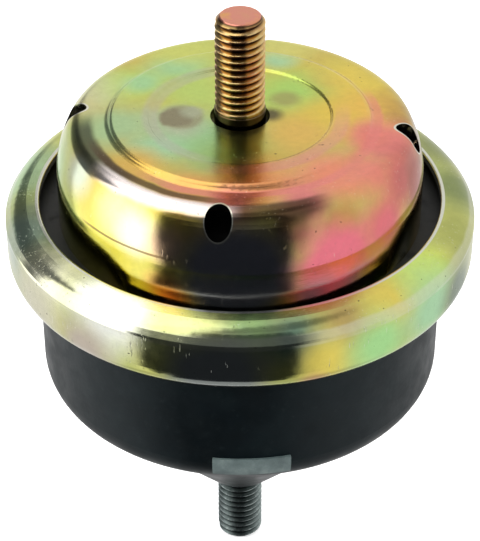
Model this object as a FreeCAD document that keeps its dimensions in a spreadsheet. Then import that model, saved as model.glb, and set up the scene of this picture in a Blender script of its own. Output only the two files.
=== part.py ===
import FreeCAD, Part
import math
import os
import re

import Sketcher

# Hydraulic engine mount, axis along Z. The origin is the centre of the lower boss's end face,
# which seats on the chassis bracket, and +Z runs up to the stud that takes the engine bracket.
# Millimetres and degrees.

sizes = {
    # heights of the main pieces, stacked up from the lower boss
    "funnel_height": 12.03,
    "cup_wall_height": 28.8,
    "ring_height": 15.0,
    "bell_rise": 17.9,
    "upper_stud_reach": 21.8,
    # studs, both M10 x 1.5, with a plain neck where they are pressed in
    "stud_radius": 4.92,
    "stud_chamfer": 1.0,
    "stud_neck_radius": 5.1,
    "stud_neck_length": 1.6,
    "upper_stud_seat": 22.0,
    "upper_stud_bevel": 0.5,
    "lower_stud_reach": 18.8,
    "lower_head_radius": 6.9,
    "lower_head_height": 3.5,
    "lower_head_bevel": 0.5,
    # bell cap, pressed from one sheet
    "bell_sheet": 2.0,
    "bell_hole_radius": 5.9,
    "recess_margin": 0.5,
    "recess_depth": 0.4,
    "recess_edge_round": 0.5,
    "plateau_step": 0.9,
    "step_width": 0.8,
    "step_round": 1.2,
    "shelf_width": 7.9,
    "shoulder_width": 3.3,
    "shoulder_draft": 25.0,
    "shoulder_top_round": 3.6,
    "shoulder_side_round": 21.0,
    "bell_flange_width": 5.8,
    "bell_flange_inset": 5.0,
    "bell_flange_round": 1.6,
    "slot_width": 5.1,
    "slot_length": 7.2,
    "slot_inset": 3.0,
    "slot_drop": 3.0,
    "slot_tilt": 45.0,
    "slot_turn": 6.8,
    # crimp ring that holds the halves together and stops the rebound
    "ring_sheet": 1.5,
    "ring_radius": 47.5,
    "ring_foot_gap": 1.1,
    "ring_foot_round": 4.4,
    "ring_edge_round": 0.37,
    "lip_width": 7.0,
    "lip_slope": 8.5,
    "brow_width": 2.3,
    "brow_slope": 50.0,
    "brow_round": 5.5,
    "crease_round": 0.8,
    # rebound buffer on the bell's flange
    "buffer_wrap": 0.8,
    "buffer_thickness": 2.0,
    "buffer_clearance": 2.3,
    # lower cup
    "cup_inset": 6.0,
    "cup_sheet": 1.8,
    "cup_corner_round": 6.5,
    "cup_bend_round": 1.0,
    "cup_flange_inset": 1.6,
    "cup_flange_round": 1.1,
    "crimp_clearance": 0.1,
    "cup_floor_width": 8.9,
    "funnel_width": 8.6,
    "funnel_round": 9.0,
    "mouth_round": 3.0,
    "boss_slope": 48.0,
    "boss_radius": 8.0,
    "boss_round": 1.2,
    "vent_radius": 1.5,
    "vent_place": 20.0,
    # label strip at the cup's lower corner
    "label_width": 15.4,
    "label_drop": 2.3,
    "label_rise": 1.7,
    "label_thickness": 0.5,
    "label_turn": 3.2,
    # inner core
    "core_seat_inset": 4.6,
    "core_seat_height": 1.1,
    "core_flange_height": 5.0,
    "core_edge_round": 1.0,
    "core_cone_height": 27.0,
    "core_nose_round": 2.0,
    # main rubber spring
    "spring_hip_width": 4.5,
    "spring_hip_drop": 3.0,
    "spring_hip_round": 5.0,
    "spring_side_width": 5.0,
    "spring_side_rise": 3.6,
    "spring_side_round": 12.0,
    "spring_root_width": 3.1,
    "spring_root_inset": 4.0,
    "spring_root_round": 2.5,
    "spring_coat": 0.8,
    "spring_nose_coat": 1.5,
    "spring_arch_inset": 7.0,
    "spring_arch_rise": 1.5,
    "spring_arch_round": 6.0,
    "arch_edge_width": 4.5,
    "arch_edge_round": 3.0,
    "spring_lip_width": 2.2,
    "spring_lip_height": 1.2,
    # outer armature, bonded to the rubber
    "armature_sheet": 1.6,
    "armature_inset": 8.9,
    "armature_cone_width": 7.1,
    "armature_round": 2.0,
    "rim_round": 2.3,
    # inertia track cartridge
    "grid_sheet": 1.5,
    "track_height": 8.0,
    "track_bore_radius": 13.0,
    "pocket_depth": 4.5,
    "channel_radius": 25.5,
    "channel_width": 6.0,
    "channel_depth": 6.0,
    "channel_angle": 320.0,
    "window_width": 5.0,
    "window_length": 9.0,
    "grid_hole_radius": 1.6,
    "inner_hole_circle": 5.6,
    "outer_hole_circle": 10.4,
    # decoupler
    "decoupler_radius": 15.7,
    "decoupler_rim": 2.9,
    "decoupler_web": 2.5,
    # rivets through the cartridge
    "rivet_radius": 1.5,
    "rivet_head_radius": 2.3,
    "rivet_head_height": 0.9,
    "rivet_circle": 19.4,
    # rolling diaphragm
    "bead_height": 4.8,
    "bead_width": 8.2,
    "bead_undercut": 1.2,
    "skin_thickness": 1.6,
    "roll_inset": 16.5,
    "roll_drop": 5.8,
    "valley_width": 7.5,
    "valley_drop": 8.8,
    "valley_round": 4.0,
    "crown_width": 8.5,
    "crown_drop": 4.8,
    "stiffener_width": 3.5,
    "stiffener_inset": 1.7,
    "stiffener_sheet": 1.5,
    # clearances
    "slip_clearance": 0.3,
    "press_clearance": 0.05,
}

# Sizes that follow from the ones above, so that the pieces keep together when one changes
followers = {
    "funnel_break_height": "(funnel_break_radius - boss_radius) * tan(boss_slope)",
    "cup_floor": "funnel_break_height + funnel_height",
    "ring_bottom": "cup_floor + cup_wall_height",
    "cup_flange_base": "ring_bottom + ring_sheet + crimp_clearance",
    "cup_flange_top": "cup_flange_base + cup_sheet",
    "armature_flange_top": "cup_flange_top + armature_sheet",
    "coat_top": "armature_flange_top + spring_coat",
    "lip_height": "ring_bottom + ring_height",
    "bell_top": "lip_height + bell_rise",
    "upper_stud_tip": "bell_top + upper_stud_reach",
    "lip_radius": "ring_radius - lip_width",
    "brow_radius": "ring_radius - brow_width",
    "bell_flange_radius": "ring_radius - bell_flange_inset",
    "bell_radius": "bell_flange_radius - bell_flange_width",
    "shoulder_radius": "bell_radius - shoulder_width",
    "plateau_radius": "shoulder_radius - shelf_width",
    "slot_circle": "bell_radius - slot_inset",
    "cup_radius": "ring_radius - cup_inset",
    "funnel_mouth_radius": "cup_radius - cup_floor_width",
    "funnel_break_radius": "funnel_mouth_radius - funnel_width",
    "armature_corner_radius": "ring_radius - armature_inset",
    "armature_foot_radius": "armature_corner_radius - armature_cone_width",
    "spring_root_radius": "armature_corner_radius - spring_root_inset",
    "spring_side_radius": "spring_root_radius - spring_root_width",
    "spring_hip_radius": "spring_side_radius - spring_side_width",
    "spring_arch_radius": "armature_foot_radius - spring_arch_inset",
    "core_flange_radius": "spring_hip_radius - spring_hip_width",
    "core_seat_radius": "core_flange_radius - core_seat_inset",
    "core_nose_radius": "core_flange_radius / 2",
    "recess_radius": "core_seat_radius + recess_margin",
    "core_top": "bell_top - recess_depth - bell_sheet",
    "core_flange_top": "core_top - core_seat_height",
    "core_flange_base": "core_flange_top - core_flange_height",
    "core_nose_height": "core_flange_base - core_cone_height",
    "spring_side_height": "coat_top + spring_side_rise",
    "spring_arch_height": "core_nose_height + spring_arch_rise",
    "roll_radius": "cup_radius - roll_inset",
    "roll_height": "cup_floor - roll_drop",
    "valley_radius": "roll_radius - valley_width",
    "valley_height": "cup_floor - valley_drop",
    "crown_radius": "valley_radius - crown_width",
    "crown_height": "cup_floor - crown_drop",
}

# How many of each
bell_slot_count = 4
inner_hole_count = 6
outer_hole_count = 12
rivet_count = 3

# Distances below which two places are one, and the least that a cut takes away
touch = 0.001
least_cut = 0.01

doc = FreeCAD.newDocument("engine_mount")
sheet = doc.addObject("Spreadsheet::Sheet", "dims")
for row, (alias, value) in enumerate(sizes.items(), start=1):
    sheet.set("A%d" % row, alias.replace("_", " "))
    sheet.set("B%d" % row, str(value))
    sheet.setAlias("B%d" % row, alias)
doc.recompute()


def bind(text):
    """Turn a formula in plain size names into one that reads the spreadsheet."""
    return re.sub(r"[a-z][a-z_]+", read_size, str(text))


def read_size(match):
    """One name of a formula: a size in the sheet, one that follows from them, or a function."""
    name = match[0]
    if name in sizes:
        return "dims." + name
    if name in followers:
        return "(%s)" % bind(followers[name])
    return name


def number(text):
    """The present value of such a formula."""
    value = sheet.evalExpression(bind(text))
    return float(getattr(value, "Value", value))


def slope(rise, run):
    """The angle of a slope, as a formula in plain degrees."""
    return "(atan((%s) / (%s)) / 1 deg)" % (rise, run)


def plus(*terms):
    return "(" + " + ".join(terms) + ")"


def minus(first, *others):
    return "(" + " - ".join((first,) + others) + ")"


# Heights that several pieces share, from the bottom up
cup_seat = plus("cup_floor", "cup_sheet")
lower_grid_base = plus(cup_seat, "bead_height")
track_base = plus(lower_grid_base, "grid_sheet")
upper_grid_base = plus(track_base, "track_height")
cartridge_top = plus(upper_grid_base, "grid_sheet")
brow_height = minus("lip_height", "(brow_radius - lip_radius) * tan(lip_slope)")
crease_height = minus(brow_height, "(ring_radius - brow_radius) * tan(brow_slope)")
bell_shelf = minus("bell_top", "plateau_step")

# Radii that several pieces share
ring_bore = minus("ring_radius", "ring_sheet")
cartridge_radius = minus("cup_radius", "cup_sheet", "slip_clearance")
buffer_radius = plus("bell_flange_radius", "buffer_wrap")
rim_radius = minus(ring_bore, "slip_clearance")
rim_bore = minus(rim_radius, "armature_sheet")

# The buffer fills the space between the bell's flange and the underside of the ring's lip
lip_underside = minus("lip_height", "ring_sheet / cos(lip_slope)",
                      "(%s - lip_radius) * tan(lip_slope)" % buffer_radius)
buffer_top = minus(lip_underside, "buffer_clearance")
bell_flange_top = minus(buffer_top, "buffer_thickness")
bell_flange_base = minus(bell_flange_top, "bell_sheet")

nodes = []


def origin_feature(body, role):
    return next(item for item in body.Origin.OriginFeatures if item.Role == role)


def new_body(label):
    body = doc.addObject("PartDesign::Body", label)
    body.Label = label
    nodes.append(body)
    return body


def new_sketch(body, name, plane):
    sketch = body.newObject("Sketcher::SketchObject", name)
    sketch.AttachmentSupport = (origin_feature(body, plane), [""])
    sketch.MapMode = "FlatFace"
    return sketch


def turned_frame(axis, angle):
    """A frame at the origin, turned about an axis by a formula in degrees."""
    return FreeCAD.Placement(FreeCAD.Vector(), FreeCAD.Rotation(axis, number(angle)))


def place_point(sketch, edge, end, x, y):
    """Tie one end of an edge to the origin by two formulas; a coordinate of 0 lies on the axis."""
    for kind, axis, formula in (("DistanceX", -2, x), ("DistanceY", -1, y)):
        if formula is None:
            continue
        if formula == "0":
            sketch.addConstraint(Sketcher.Constraint("PointOnObject", edge, end, axis))
            continue
        constraint = Sketcher.Constraint(kind, -1, 1, edge, end, number(formula))
        index = sketch.addConstraint(constraint)
        sketch.setExpression("Constraints[%d]" % index, bind(formula))


def draw_outline(sketch, corners):
    """Draw a closed outline of straight edges through (x, y) formulas."""
    places = [FreeCAD.Vector(number(x), number(y), 0) for x, y in corners]
    count = len(places)
    first = sketch.GeometryCount
    for index in range(count):
        sketch.addGeometry(Part.LineSegment(places[index], places[(index + 1) % count]), False)
    for index in range(count):
        follower = first + (index + 1) % count
        sketch.addConstraint(Sketcher.Constraint("Coincident", first + index, 2, follower, 1))
    for index, (x, y) in enumerate(corners):
        place_point(sketch, first + index, 1, x, y)


def draw_circle(sketch, x, y, radius):
    centre = FreeCAD.Vector(number(x), number(y), 0)
    axis = FreeCAD.Vector(0, 0, 1)
    edge = sketch.addGeometry(Part.Circle(centre, axis, number(radius)), False)
    place_point(sketch, edge, 3, x, y)
    index = sketch.addConstraint(Sketcher.Constraint("Radius", edge, number(radius)))
    sketch.setExpression("Constraints[%d]" % index, bind(radius))


def draw_slot(sketch, x, y, length, width):
    """Draw a slot that is long in y, with round ends, centred on (x, y)."""
    middle_x, middle_y = number(x), number(y)
    radius = number(width) / 2
    reach = number(length) / 2 - radius
    ends = [FreeCAD.Vector(middle_x, middle_y + side * reach, 0) for side in (1, -1)]
    axis = FreeCAD.Vector(0, 0, 1)
    top = sketch.addGeometry(Part.ArcOfCircle(Part.Circle(ends[0], axis, radius), 0, math.pi), False)
    bottom = sketch.addGeometry(
        Part.ArcOfCircle(Part.Circle(ends[1], axis, radius), math.pi, 2 * math.pi), False)
    corner = FreeCAD.Vector(radius, 0, 0)
    left = sketch.addGeometry(Part.LineSegment(ends[0] - corner, ends[1] - corner), False)
    right = sketch.addGeometry(Part.LineSegment(ends[1] + corner, ends[0] + corner), False)
    for one, one_end, other, other_end in ((top, 2, left, 1), (left, 2, bottom, 1),
                                           (bottom, 2, right, 1), (right, 2, top, 1)):
        sketch.addConstraint(Sketcher.Constraint("Tangent", one, one_end, other, other_end))
    place_point(sketch, top, 3, x, plus(y, "(%s - %s) / 2" % (length, width)))
    place_point(sketch, bottom, 3, None, minus(y, "(%s - %s) / 2" % (length, width)))
    sketch.addConstraint(Sketcher.Constraint("Vertical", left))
    index = sketch.addConstraint(Sketcher.Constraint("Radius", top, radius))
    sketch.setExpression("Constraints[%d]" % index, bind("%s / 2" % width))


def draw_oval(sketch, x, y, length, width):
    """Draw an ellipse that is long in y, centred on (x, y)."""
    centre = FreeCAD.Vector(number(x), number(y), 0)
    long_end = centre + FreeCAD.Vector(0, number(length) / 2, 0)
    short_end = centre + FreeCAD.Vector(number(width) / 2, 0, 0)
    edge = sketch.addGeometry(Part.Ellipse(long_end, short_end, centre), False)
    long_axis = sketch.GeometryCount
    sketch.exposeInternalGeometry(edge)
    place_point(sketch, edge, 3, x, y)
    sketch.addConstraint(Sketcher.Constraint("Vertical", long_axis))
    for axis, size in ((long_axis, length), (long_axis + 1, width)):
        index = sketch.addConstraint(Sketcher.Constraint("Distance", axis, number(size)))
        sketch.setExpression("Constraints[%d]" % index, bind(size))


def turned(label, corners):
    """A body turned about Z from its half section, given as (radius, height) formulas."""
    body = new_body(label)
    sketch = new_sketch(body, label + "_section", "XZ_Plane")
    draw_outline(sketch, corners)
    revolution = body.newObject("PartDesign::Revolution", label + "_turned")
    revolution.Profile = sketch
    revolution.ReferenceAxis = (sketch, ["V_Axis"])
    revolution.Angle = 360.0
    sketch.Visibility = False
    doc.recompute()
    return body


def turned_edges(shape, corners):
    """Names of the circular edges about Z that pass through these section corners."""
    names = []
    for radius, height in corners:
        radius, height = number(radius), number(height)
        for index, edge in enumerate(shape.Edges, start=1):
            curve = edge.Curve
            if not isinstance(curve, Part.Circle) or abs(curve.Radius - radius) > touch:
                continue
            if abs(curve.Center.z - height) < touch and abs(curve.Axis.z) > 1 - touch:
                names.append("Edge%d" % index)
    if len(names) < len(corners):
        raise ValueError("a corner to be rounded was not found")
    return names


def rounded(body, radius, *corners):
    """Round section corners of a turned body."""
    base = body.Tip
    fillet = body.newObject("PartDesign::Fillet", body.Label + "_round")
    fillet.Base = (base, turned_edges(base.Shape, corners))
    fillet.setExpression("Radius", bind(radius))
    doc.recompute()


def bevelled(body, size, *corners):
    base = body.Tip
    chamfer = body.newObject("PartDesign::Chamfer", body.Label + "_bevel")
    chamfer.Base = (base, turned_edges(base.Shape, corners))
    chamfer.setExpression("Size", bind(size))
    doc.recompute()


def pocketed(body, sketch, name, length=None, reverse=False):
    """Cut a sketch's outline out of a body, right through unless a length is given."""
    before = body.Tip.Shape.Volume
    pocket = body.newObject("PartDesign::Pocket", name)
    pocket.Profile = sketch
    pocket.Reversed = reverse
    if length is None:
        pocket.Type = "ThroughAll"
        pocket.Midplane = True
    else:
        pocket.Type = "Length"
        pocket.setExpression("Length", bind(length))
    sketch.Visibility = False
    doc.recompute()
    if body.Tip.Shape.Volume > before - least_cut:
        raise ValueError(name + " cut nothing")
    return pocket


def repeated(body, features, count, name):
    """Repeat features evenly round the axis."""
    pattern = body.newObject("PartDesign::PolarPattern", name)
    pattern.Originals = features
    pattern.Axis = (origin_feature(body, "Z_Axis"), [""])
    pattern.Angle = 360
    pattern.Occurrences = count
    body.Tip = pattern
    doc.recompute()


def inside(radius, height, first, second, thickness):
    """
    The corner on the inner face of a bent sheet, behind an outer corner, where the outer face
    turns from one direction to the next (degrees in the section, walked with the inside on
    the right).
    """
    half = "((%s) - (%s)) / 2" % (second, first)
    middle = "((%s) + (%s)) / 2 - 90" % (first, second)
    reach = "%s / cos(%s)" % (thickness, half)
    return (plus(radius, "%s * cos(%s)" % (reach, middle)),
            plus(height, "%s * sin(%s)" % (reach, middle)))


def build_bell_cap():
    """Pressed bell: dished top with a raised plateau, drafted shoulder, wall and stop flange."""
    floor = minus("bell_top", "recess_depth")
    wall_corner = minus(bell_shelf, "(bell_radius - shoulder_radius) / tan(shoulder_draft)")
    inner_shoulder = inside("shoulder_radius", bell_shelf, "0", "shoulder_draft - 90", "bell_sheet")
    inner_wall = inside("bell_radius", wall_corner, "shoulder_draft - 90", "-90", "bell_sheet")
    step_end = plus("plateau_radius", "step_width")
    recess_end = plus("recess_radius", "recess_depth")
    inner_face = minus("bell_radius", "bell_sheet")
    outer = [
        ("bell_hole_radius", floor),
        ("recess_radius", floor),
        (recess_end, "bell_top"),
        ("plateau_radius", "bell_top"),
        (step_end, bell_shelf),
        ("shoulder_radius", bell_shelf),
        ("bell_radius", wall_corner),
        ("bell_radius", bell_flange_top),
        ("bell_flange_radius", bell_flange_top),
    ]
    inner = [
        ("bell_flange_radius", bell_flange_base),
        (inner_face, bell_flange_base),
        inner_wall,
        inner_shoulder,
        (step_end, minus(bell_shelf, "bell_sheet")),
        ("plateau_radius", minus("bell_top", "bell_sheet")),
        (recess_end, minus("bell_top", "bell_sheet")),
        ("recess_radius", minus(floor, "bell_sheet")),
        ("bell_hole_radius", minus(floor, "bell_sheet")),
    ]
    body = turned("bell_cap", outer + inner)
    rounded(body, "shoulder_top_round", ("shoulder_radius", bell_shelf))
    rounded(body, "shoulder_side_round", ("bell_radius", wall_corner))
    rounded(body, "shoulder_top_round - bell_sheet", inner_shoulder)
    rounded(body, "shoulder_side_round - bell_sheet", inner_wall)
    rounded(body, "bell_flange_round", ("bell_radius", bell_flange_top))
    rounded(body, "bell_flange_round + bell_sheet", (inner_face, bell_flange_base))
    rounded(body, "step_round", ("plateau_radius", "bell_top"), (step_end, bell_shelf))
    rounded(body, "recess_edge_round", ("recess_radius", floor), (recess_end, "bell_top"))
    # The four holes are punched square to the shoulder, where the draw stretches them to ovals,
    # then the whole bell is turned on its core
    slot = new_sketch(body, "bell_slot", "XZ_Plane")
    slot.AttachmentOffset = turned_frame(FreeCAD.Vector(1, 0, 0), "-slot_tilt")
    slot.setExpression("AttachmentOffset.Rotation.Angle", bind("-slot_tilt"))
    slot_place = minus("(bell_top - slot_drop) * cos(slot_tilt)", "slot_circle * sin(slot_tilt)")
    draw_oval(slot, "0", slot_place, "slot_length", "slot_width")
    pocket = pocketed(body, slot, "bell_slot_cut")
    repeated(body, [pocket], bell_slot_count, "bell_slots")
    body.Placement = turned_frame(FreeCAD.Vector(0, 0, 1), "-slot_turn")


def build_crimp_ring():
    """Ring round the joint: sloping lip over the bell's flange, brow, wall and rolled foot."""
    foot_end = plus("cup_radius", "ring_foot_gap")
    lip_side = minus("lip_height", "ring_sheet / cos(lip_slope)")
    inner_brow = inside("brow_radius", brow_height, "-lip_slope", "-brow_slope", "ring_sheet")
    inner_crease = inside("ring_radius", crease_height, "-brow_slope", "-90", "ring_sheet")
    inner_foot = (ring_bore, plus("ring_bottom", "ring_sheet"))
    body = turned("crimp_ring", [
        ("lip_radius", "lip_height"),
        ("brow_radius", brow_height),
        ("ring_radius", crease_height),
        ("ring_radius", "ring_bottom"),
        (foot_end, "ring_bottom"),
        (foot_end, plus("ring_bottom", "ring_sheet")),
        inner_foot,
        inner_crease,
        inner_brow,
        ("lip_radius", lip_side),
    ])
    rounded(body, "brow_round", ("brow_radius", brow_height))
    rounded(body, "brow_round - ring_sheet", inner_brow)
    rounded(body, "crease_round", ("ring_radius", crease_height))
    rounded(body, "ring_foot_round", ("ring_radius", "ring_bottom"))
    rounded(body, "ring_foot_round - ring_sheet", inner_foot)
    rounded(body, "ring_edge_round", ("lip_radius", "lip_height"), (foot_end, "ring_bottom"))


def build_rebound_buffer():
    """Rubber moulded on the bell's stop flange, over its top and round its edge."""
    body = turned("rebound_buffer", [
        ("bell_radius", bell_flange_top),
        ("bell_flange_radius", bell_flange_top),
        ("bell_flange_radius", bell_flange_base),
        (buffer_radius, bell_flange_base),
        (buffer_radius, buffer_top),
        ("bell_radius", buffer_top),
    ])
    rounded(body, "bell_flange_round", ("bell_radius", bell_flange_top))
    rounded(body, "buffer_wrap", (buffer_radius, buffer_top))


def build_upper_stud():
    """Stud whose neck is pressed into the core and stands through the bell's clearance hole."""
    foot = minus("core_top", "upper_stud_seat")
    neck_end = plus("bell_top", "stud_neck_length")
    body = turned("upper_stud", [
        ("0", foot),
        ("stud_neck_radius", foot),
        ("stud_neck_radius", neck_end),
        ("stud_radius", neck_end),
        ("stud_radius", "upper_stud_tip"),
        ("0", "upper_stud_tip"),
    ])
    bevelled(body, "stud_chamfer", ("stud_radius", "upper_stud_tip"))
    bevelled(body, "upper_stud_bevel", ("stud_neck_radius", foot))


def build_inner_core():
    """Forged core: seat under the bell, flange, and a cone that the rubber grips."""
    bore = plus("stud_neck_radius", "press_clearance")
    bore_floor = minus("core_top", "upper_stud_seat")
    body = turned("inner_core", [
        ("0", "core_nose_height"),
        ("core_nose_radius", "core_nose_height"),
        ("core_flange_radius", "core_flange_base"),
        ("core_flange_radius", "core_flange_top"),
        ("core_seat_radius", "core_flange_top"),
        ("core_seat_radius", "core_top"),
        (bore, "core_top"),
        (bore, bore_floor),
        ("0", bore_floor),
    ])
    rounded(body, "core_nose_round", ("core_nose_radius", "core_nose_height"))
    rounded(body, "core_edge_round", ("core_flange_radius", "core_flange_top"))


def build_outer_armature():
    """Pressed ring in the crimp: upturned rim, flange, and the cone under the rubber."""
    rim_top = minus(brow_height, "(%s - brow_radius) * tan(brow_slope)" % rim_radius,
                    "ring_sheet / cos(brow_slope)", "crimp_clearance")
    slope = armature_slope()
    inner_corner = inside("armature_corner_radius", "cup_flange_top", "180", slope, "armature_sheet")
    body = turned("outer_armature", [
        (rim_radius, "cup_flange_top"),
        ("armature_corner_radius", "cup_flange_top"),
        ("armature_foot_radius", cartridge_top),
        (armature_foot_bore(), cartridge_top),
        inner_corner,
        (rim_bore, "armature_flange_top"),
        (rim_bore, rim_top),
        (rim_radius, rim_top),
    ])
    rounded(body, "armature_round", ("armature_corner_radius", "cup_flange_top"))
    rounded(body, "armature_round + armature_sheet", inner_corner)
    rounded(body, "rim_round", (rim_radius, "cup_flange_top"))
    rounded(body, "rim_round - armature_sheet", (rim_bore, "armature_flange_top"))


def armature_slope():
    """Direction of the armature's cone in the section, walked downwards."""
    fall = minus("cup_flange_top", cartridge_top)
    return plus("180", slope(fall, "armature_corner_radius - armature_foot_radius"))


def armature_foot_bore():
    return minus("armature_foot_radius", "armature_sheet / sin(%s - 180)" % armature_slope())


def build_main_spring():
    """Conical rubber spring bonded between the core and the armature, and coated over both."""
    inner_corner = inside("armature_corner_radius", "cup_flange_top", "180", armature_slope(),
                          "armature_sheet")
    coat_end = minus(rim_bore, "rim_round - armature_sheet", "crimp_clearance")
    lip_base = plus(cartridge_top, "spring_lip_height")
    lip_side = plus(armature_foot_bore(), "spring_lip_height / tan(%s - 180)" % armature_slope())
    nose_base = minus("core_nose_height", "spring_nose_coat")
    nose_side = plus("core_nose_radius", "spring_nose_coat")
    arch_edge = plus("core_nose_radius", "arch_edge_width")
    hip_height = minus("core_flange_base", "spring_hip_drop")
    body = turned("main_spring", [
        ("core_flange_radius", "core_flange_base"),
        ("spring_hip_radius", hip_height),
        ("spring_side_radius", "spring_side_height"),
        ("spring_root_radius", "coat_top"),
        (coat_end, "coat_top"),
        (coat_end, "armature_flange_top"),
        inner_corner,
        (lip_side, lip_base),
        (minus(lip_side, "spring_lip_width"), lip_base),
        ("spring_arch_radius", "spring_arch_height"),
        (arch_edge, "spring_arch_height"),
        (nose_side, nose_base),
        ("0", nose_base),
        ("0", "core_nose_height"),
        ("core_nose_radius", "core_nose_height"),
    ])
    rounded(body, "core_nose_round", ("core_nose_radius", "core_nose_height"))
    rounded(body, "armature_round + armature_sheet", inner_corner)
    rounded(body, "spring_hip_round", ("spring_hip_radius", hip_height))
    rounded(body, "spring_side_round", ("spring_side_radius", "spring_side_height"))
    rounded(body, "spring_root_round", ("spring_root_radius", "coat_top"))
    rounded(body, "spring_arch_round", ("spring_arch_radius", "spring_arch_height"))
    rounded(body, "arch_edge_round", (arch_edge, "spring_arch_height"))


def build_grid(label, base, window_angle):
    """Steel plate of the cartridge, drilled over the decoupler, with one window to the track."""
    top = plus(base, "grid_sheet")
    body = turned(label, [
        ("0", base),
        (cartridge_radius, base),
        (cartridge_radius, top),
        ("0", top),
    ])
    for name, circle, count in (("inner", "inner_hole_circle", inner_hole_count),
                                ("outer", "outer_hole_circle", outer_hole_count)):
        sketch = new_sketch(body, "%s_%s_hole" % (label, name), "XY_Plane")
        draw_circle(sketch, circle, "0", "grid_hole_radius")
        hole = pocketed(body, sketch, "%s_%s_cut" % (label, name))
        repeated(body, [hole], count, "%s_%s_holes" % (label, name))
    rivets = new_sketch(body, label + "_rivet_hole", "XY_Plane")
    draw_circle(rivets, "rivet_circle", "0", "rivet_radius + press_clearance")
    hole = pocketed(body, rivets, label + "_rivet_cut")
    repeated(body, [hole], rivet_count, label + "_rivet_holes")
    cut_window(body, label, window_angle)


def cut_window(body, label, angle):
    """Cut the slot that opens one end of the channel; the angle is a formula in degrees."""
    window = new_sketch(body, label + "_window", "XY_Plane")
    window.AttachmentOffset = turned_frame(FreeCAD.Vector(0, 0, 1), angle)
    window.setExpression("AttachmentOffset.Rotation.Angle", bind(angle))
    draw_slot(window, "channel_radius", "0", "window_length", "window_width")
    pocketed(body, window, label + "_window_cut")


def build_track_body():
    """Cast disc with the long channel round it and a pocket for the decoupler."""
    pocket = plus("decoupler_radius", "slip_clearance")
    ledge = minus(upper_grid_base, "pocket_depth")
    body = turned("track_body", [
        ("track_bore_radius", track_base),
        (cartridge_radius, track_base),
        (cartridge_radius, upper_grid_base),
        (pocket, upper_grid_base),
        (pocket, ledge),
        ("track_bore_radius", ledge),
    ])
    channel = new_sketch(body, "channel_section", "XZ_Plane")
    channel_floor = minus(upper_grid_base, "channel_depth")
    inner_wall = "channel_radius - channel_width / 2"
    outer_wall = "channel_radius + channel_width / 2"
    draw_outline(channel, [
        (inner_wall, channel_floor),
        (outer_wall, channel_floor),
        (outer_wall, upper_grid_base),
        (inner_wall, upper_grid_base),
    ])
    before = body.Tip.Shape.Volume
    groove = body.newObject("PartDesign::Groove", "channel")
    groove.Profile = channel
    groove.ReferenceAxis = (channel, ["V_Axis"])
    groove.setExpression("Angle", bind("channel_angle"))
    doc.recompute()
    if body.Tip.Shape.Volume > before - least_cut:
        raise ValueError("the channel cut nothing")
    rivets = new_sketch(body, "track_rivet_hole", "XY_Plane")
    draw_circle(rivets, "rivet_circle", "0", "rivet_radius + press_clearance")
    hole = pocketed(body, rivets, "track_rivet_cut")
    repeated(body, [hole], rivet_count, "track_rivet_holes")
    cut_window(body, "track", channel_exit)


def build_decoupler():
    """Rubber disc with a thick rim, held on the ledge under the upper grid."""
    base = minus(upper_grid_base, "pocket_depth")
    middle = plus(base, "pocket_depth / 2")
    rim = minus("decoupler_radius", "decoupler_rim")
    web_edge = minus(rim, "(pocket_depth - decoupler_web) / 2")
    lower_face = minus(middle, "decoupler_web / 2")
    upper_face = plus(middle, "decoupler_web / 2")
    turned("decoupler", [
        ("0", lower_face),
        (web_edge, lower_face),
        (rim, base),
        ("decoupler_radius", base),
        ("decoupler_radius", upper_grid_base),
        (rim, upper_grid_base),
        (web_edge, upper_face),
        ("0", upper_face),
    ])


def build_track_rivets():
    """Three rivets through both grids and the track body, in one node."""
    body = new_body("track_rivets")
    body.AllowCompound = True
    sketch = new_sketch(body, "rivet_section", "XZ_Plane")
    head_edge = plus("rivet_circle", "rivet_head_radius")
    shank_edge = plus("rivet_circle", "rivet_radius")
    lower = minus(lower_grid_base, "rivet_head_height")
    upper = plus(cartridge_top, "rivet_head_height")
    draw_outline(sketch, [
        ("rivet_circle", lower),
        (head_edge, lower),
        (head_edge, lower_grid_base),
        (shank_edge, lower_grid_base),
        (shank_edge, cartridge_top),
        (head_edge, cartridge_top),
        (head_edge, upper),
        ("rivet_circle", upper),
    ])
    # The outline closes along the rivet's own axis
    rivet_axis = "Edge%d" % sketch.GeometryCount
    rivet = body.newObject("PartDesign::Revolution", "rivet")
    rivet.Profile = sketch
    rivet.ReferenceAxis = (sketch, [rivet_axis])
    rivet.Angle = 360.0
    doc.recompute()
    repeated(body, [rivet], rivet_count, "rivets")


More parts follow.
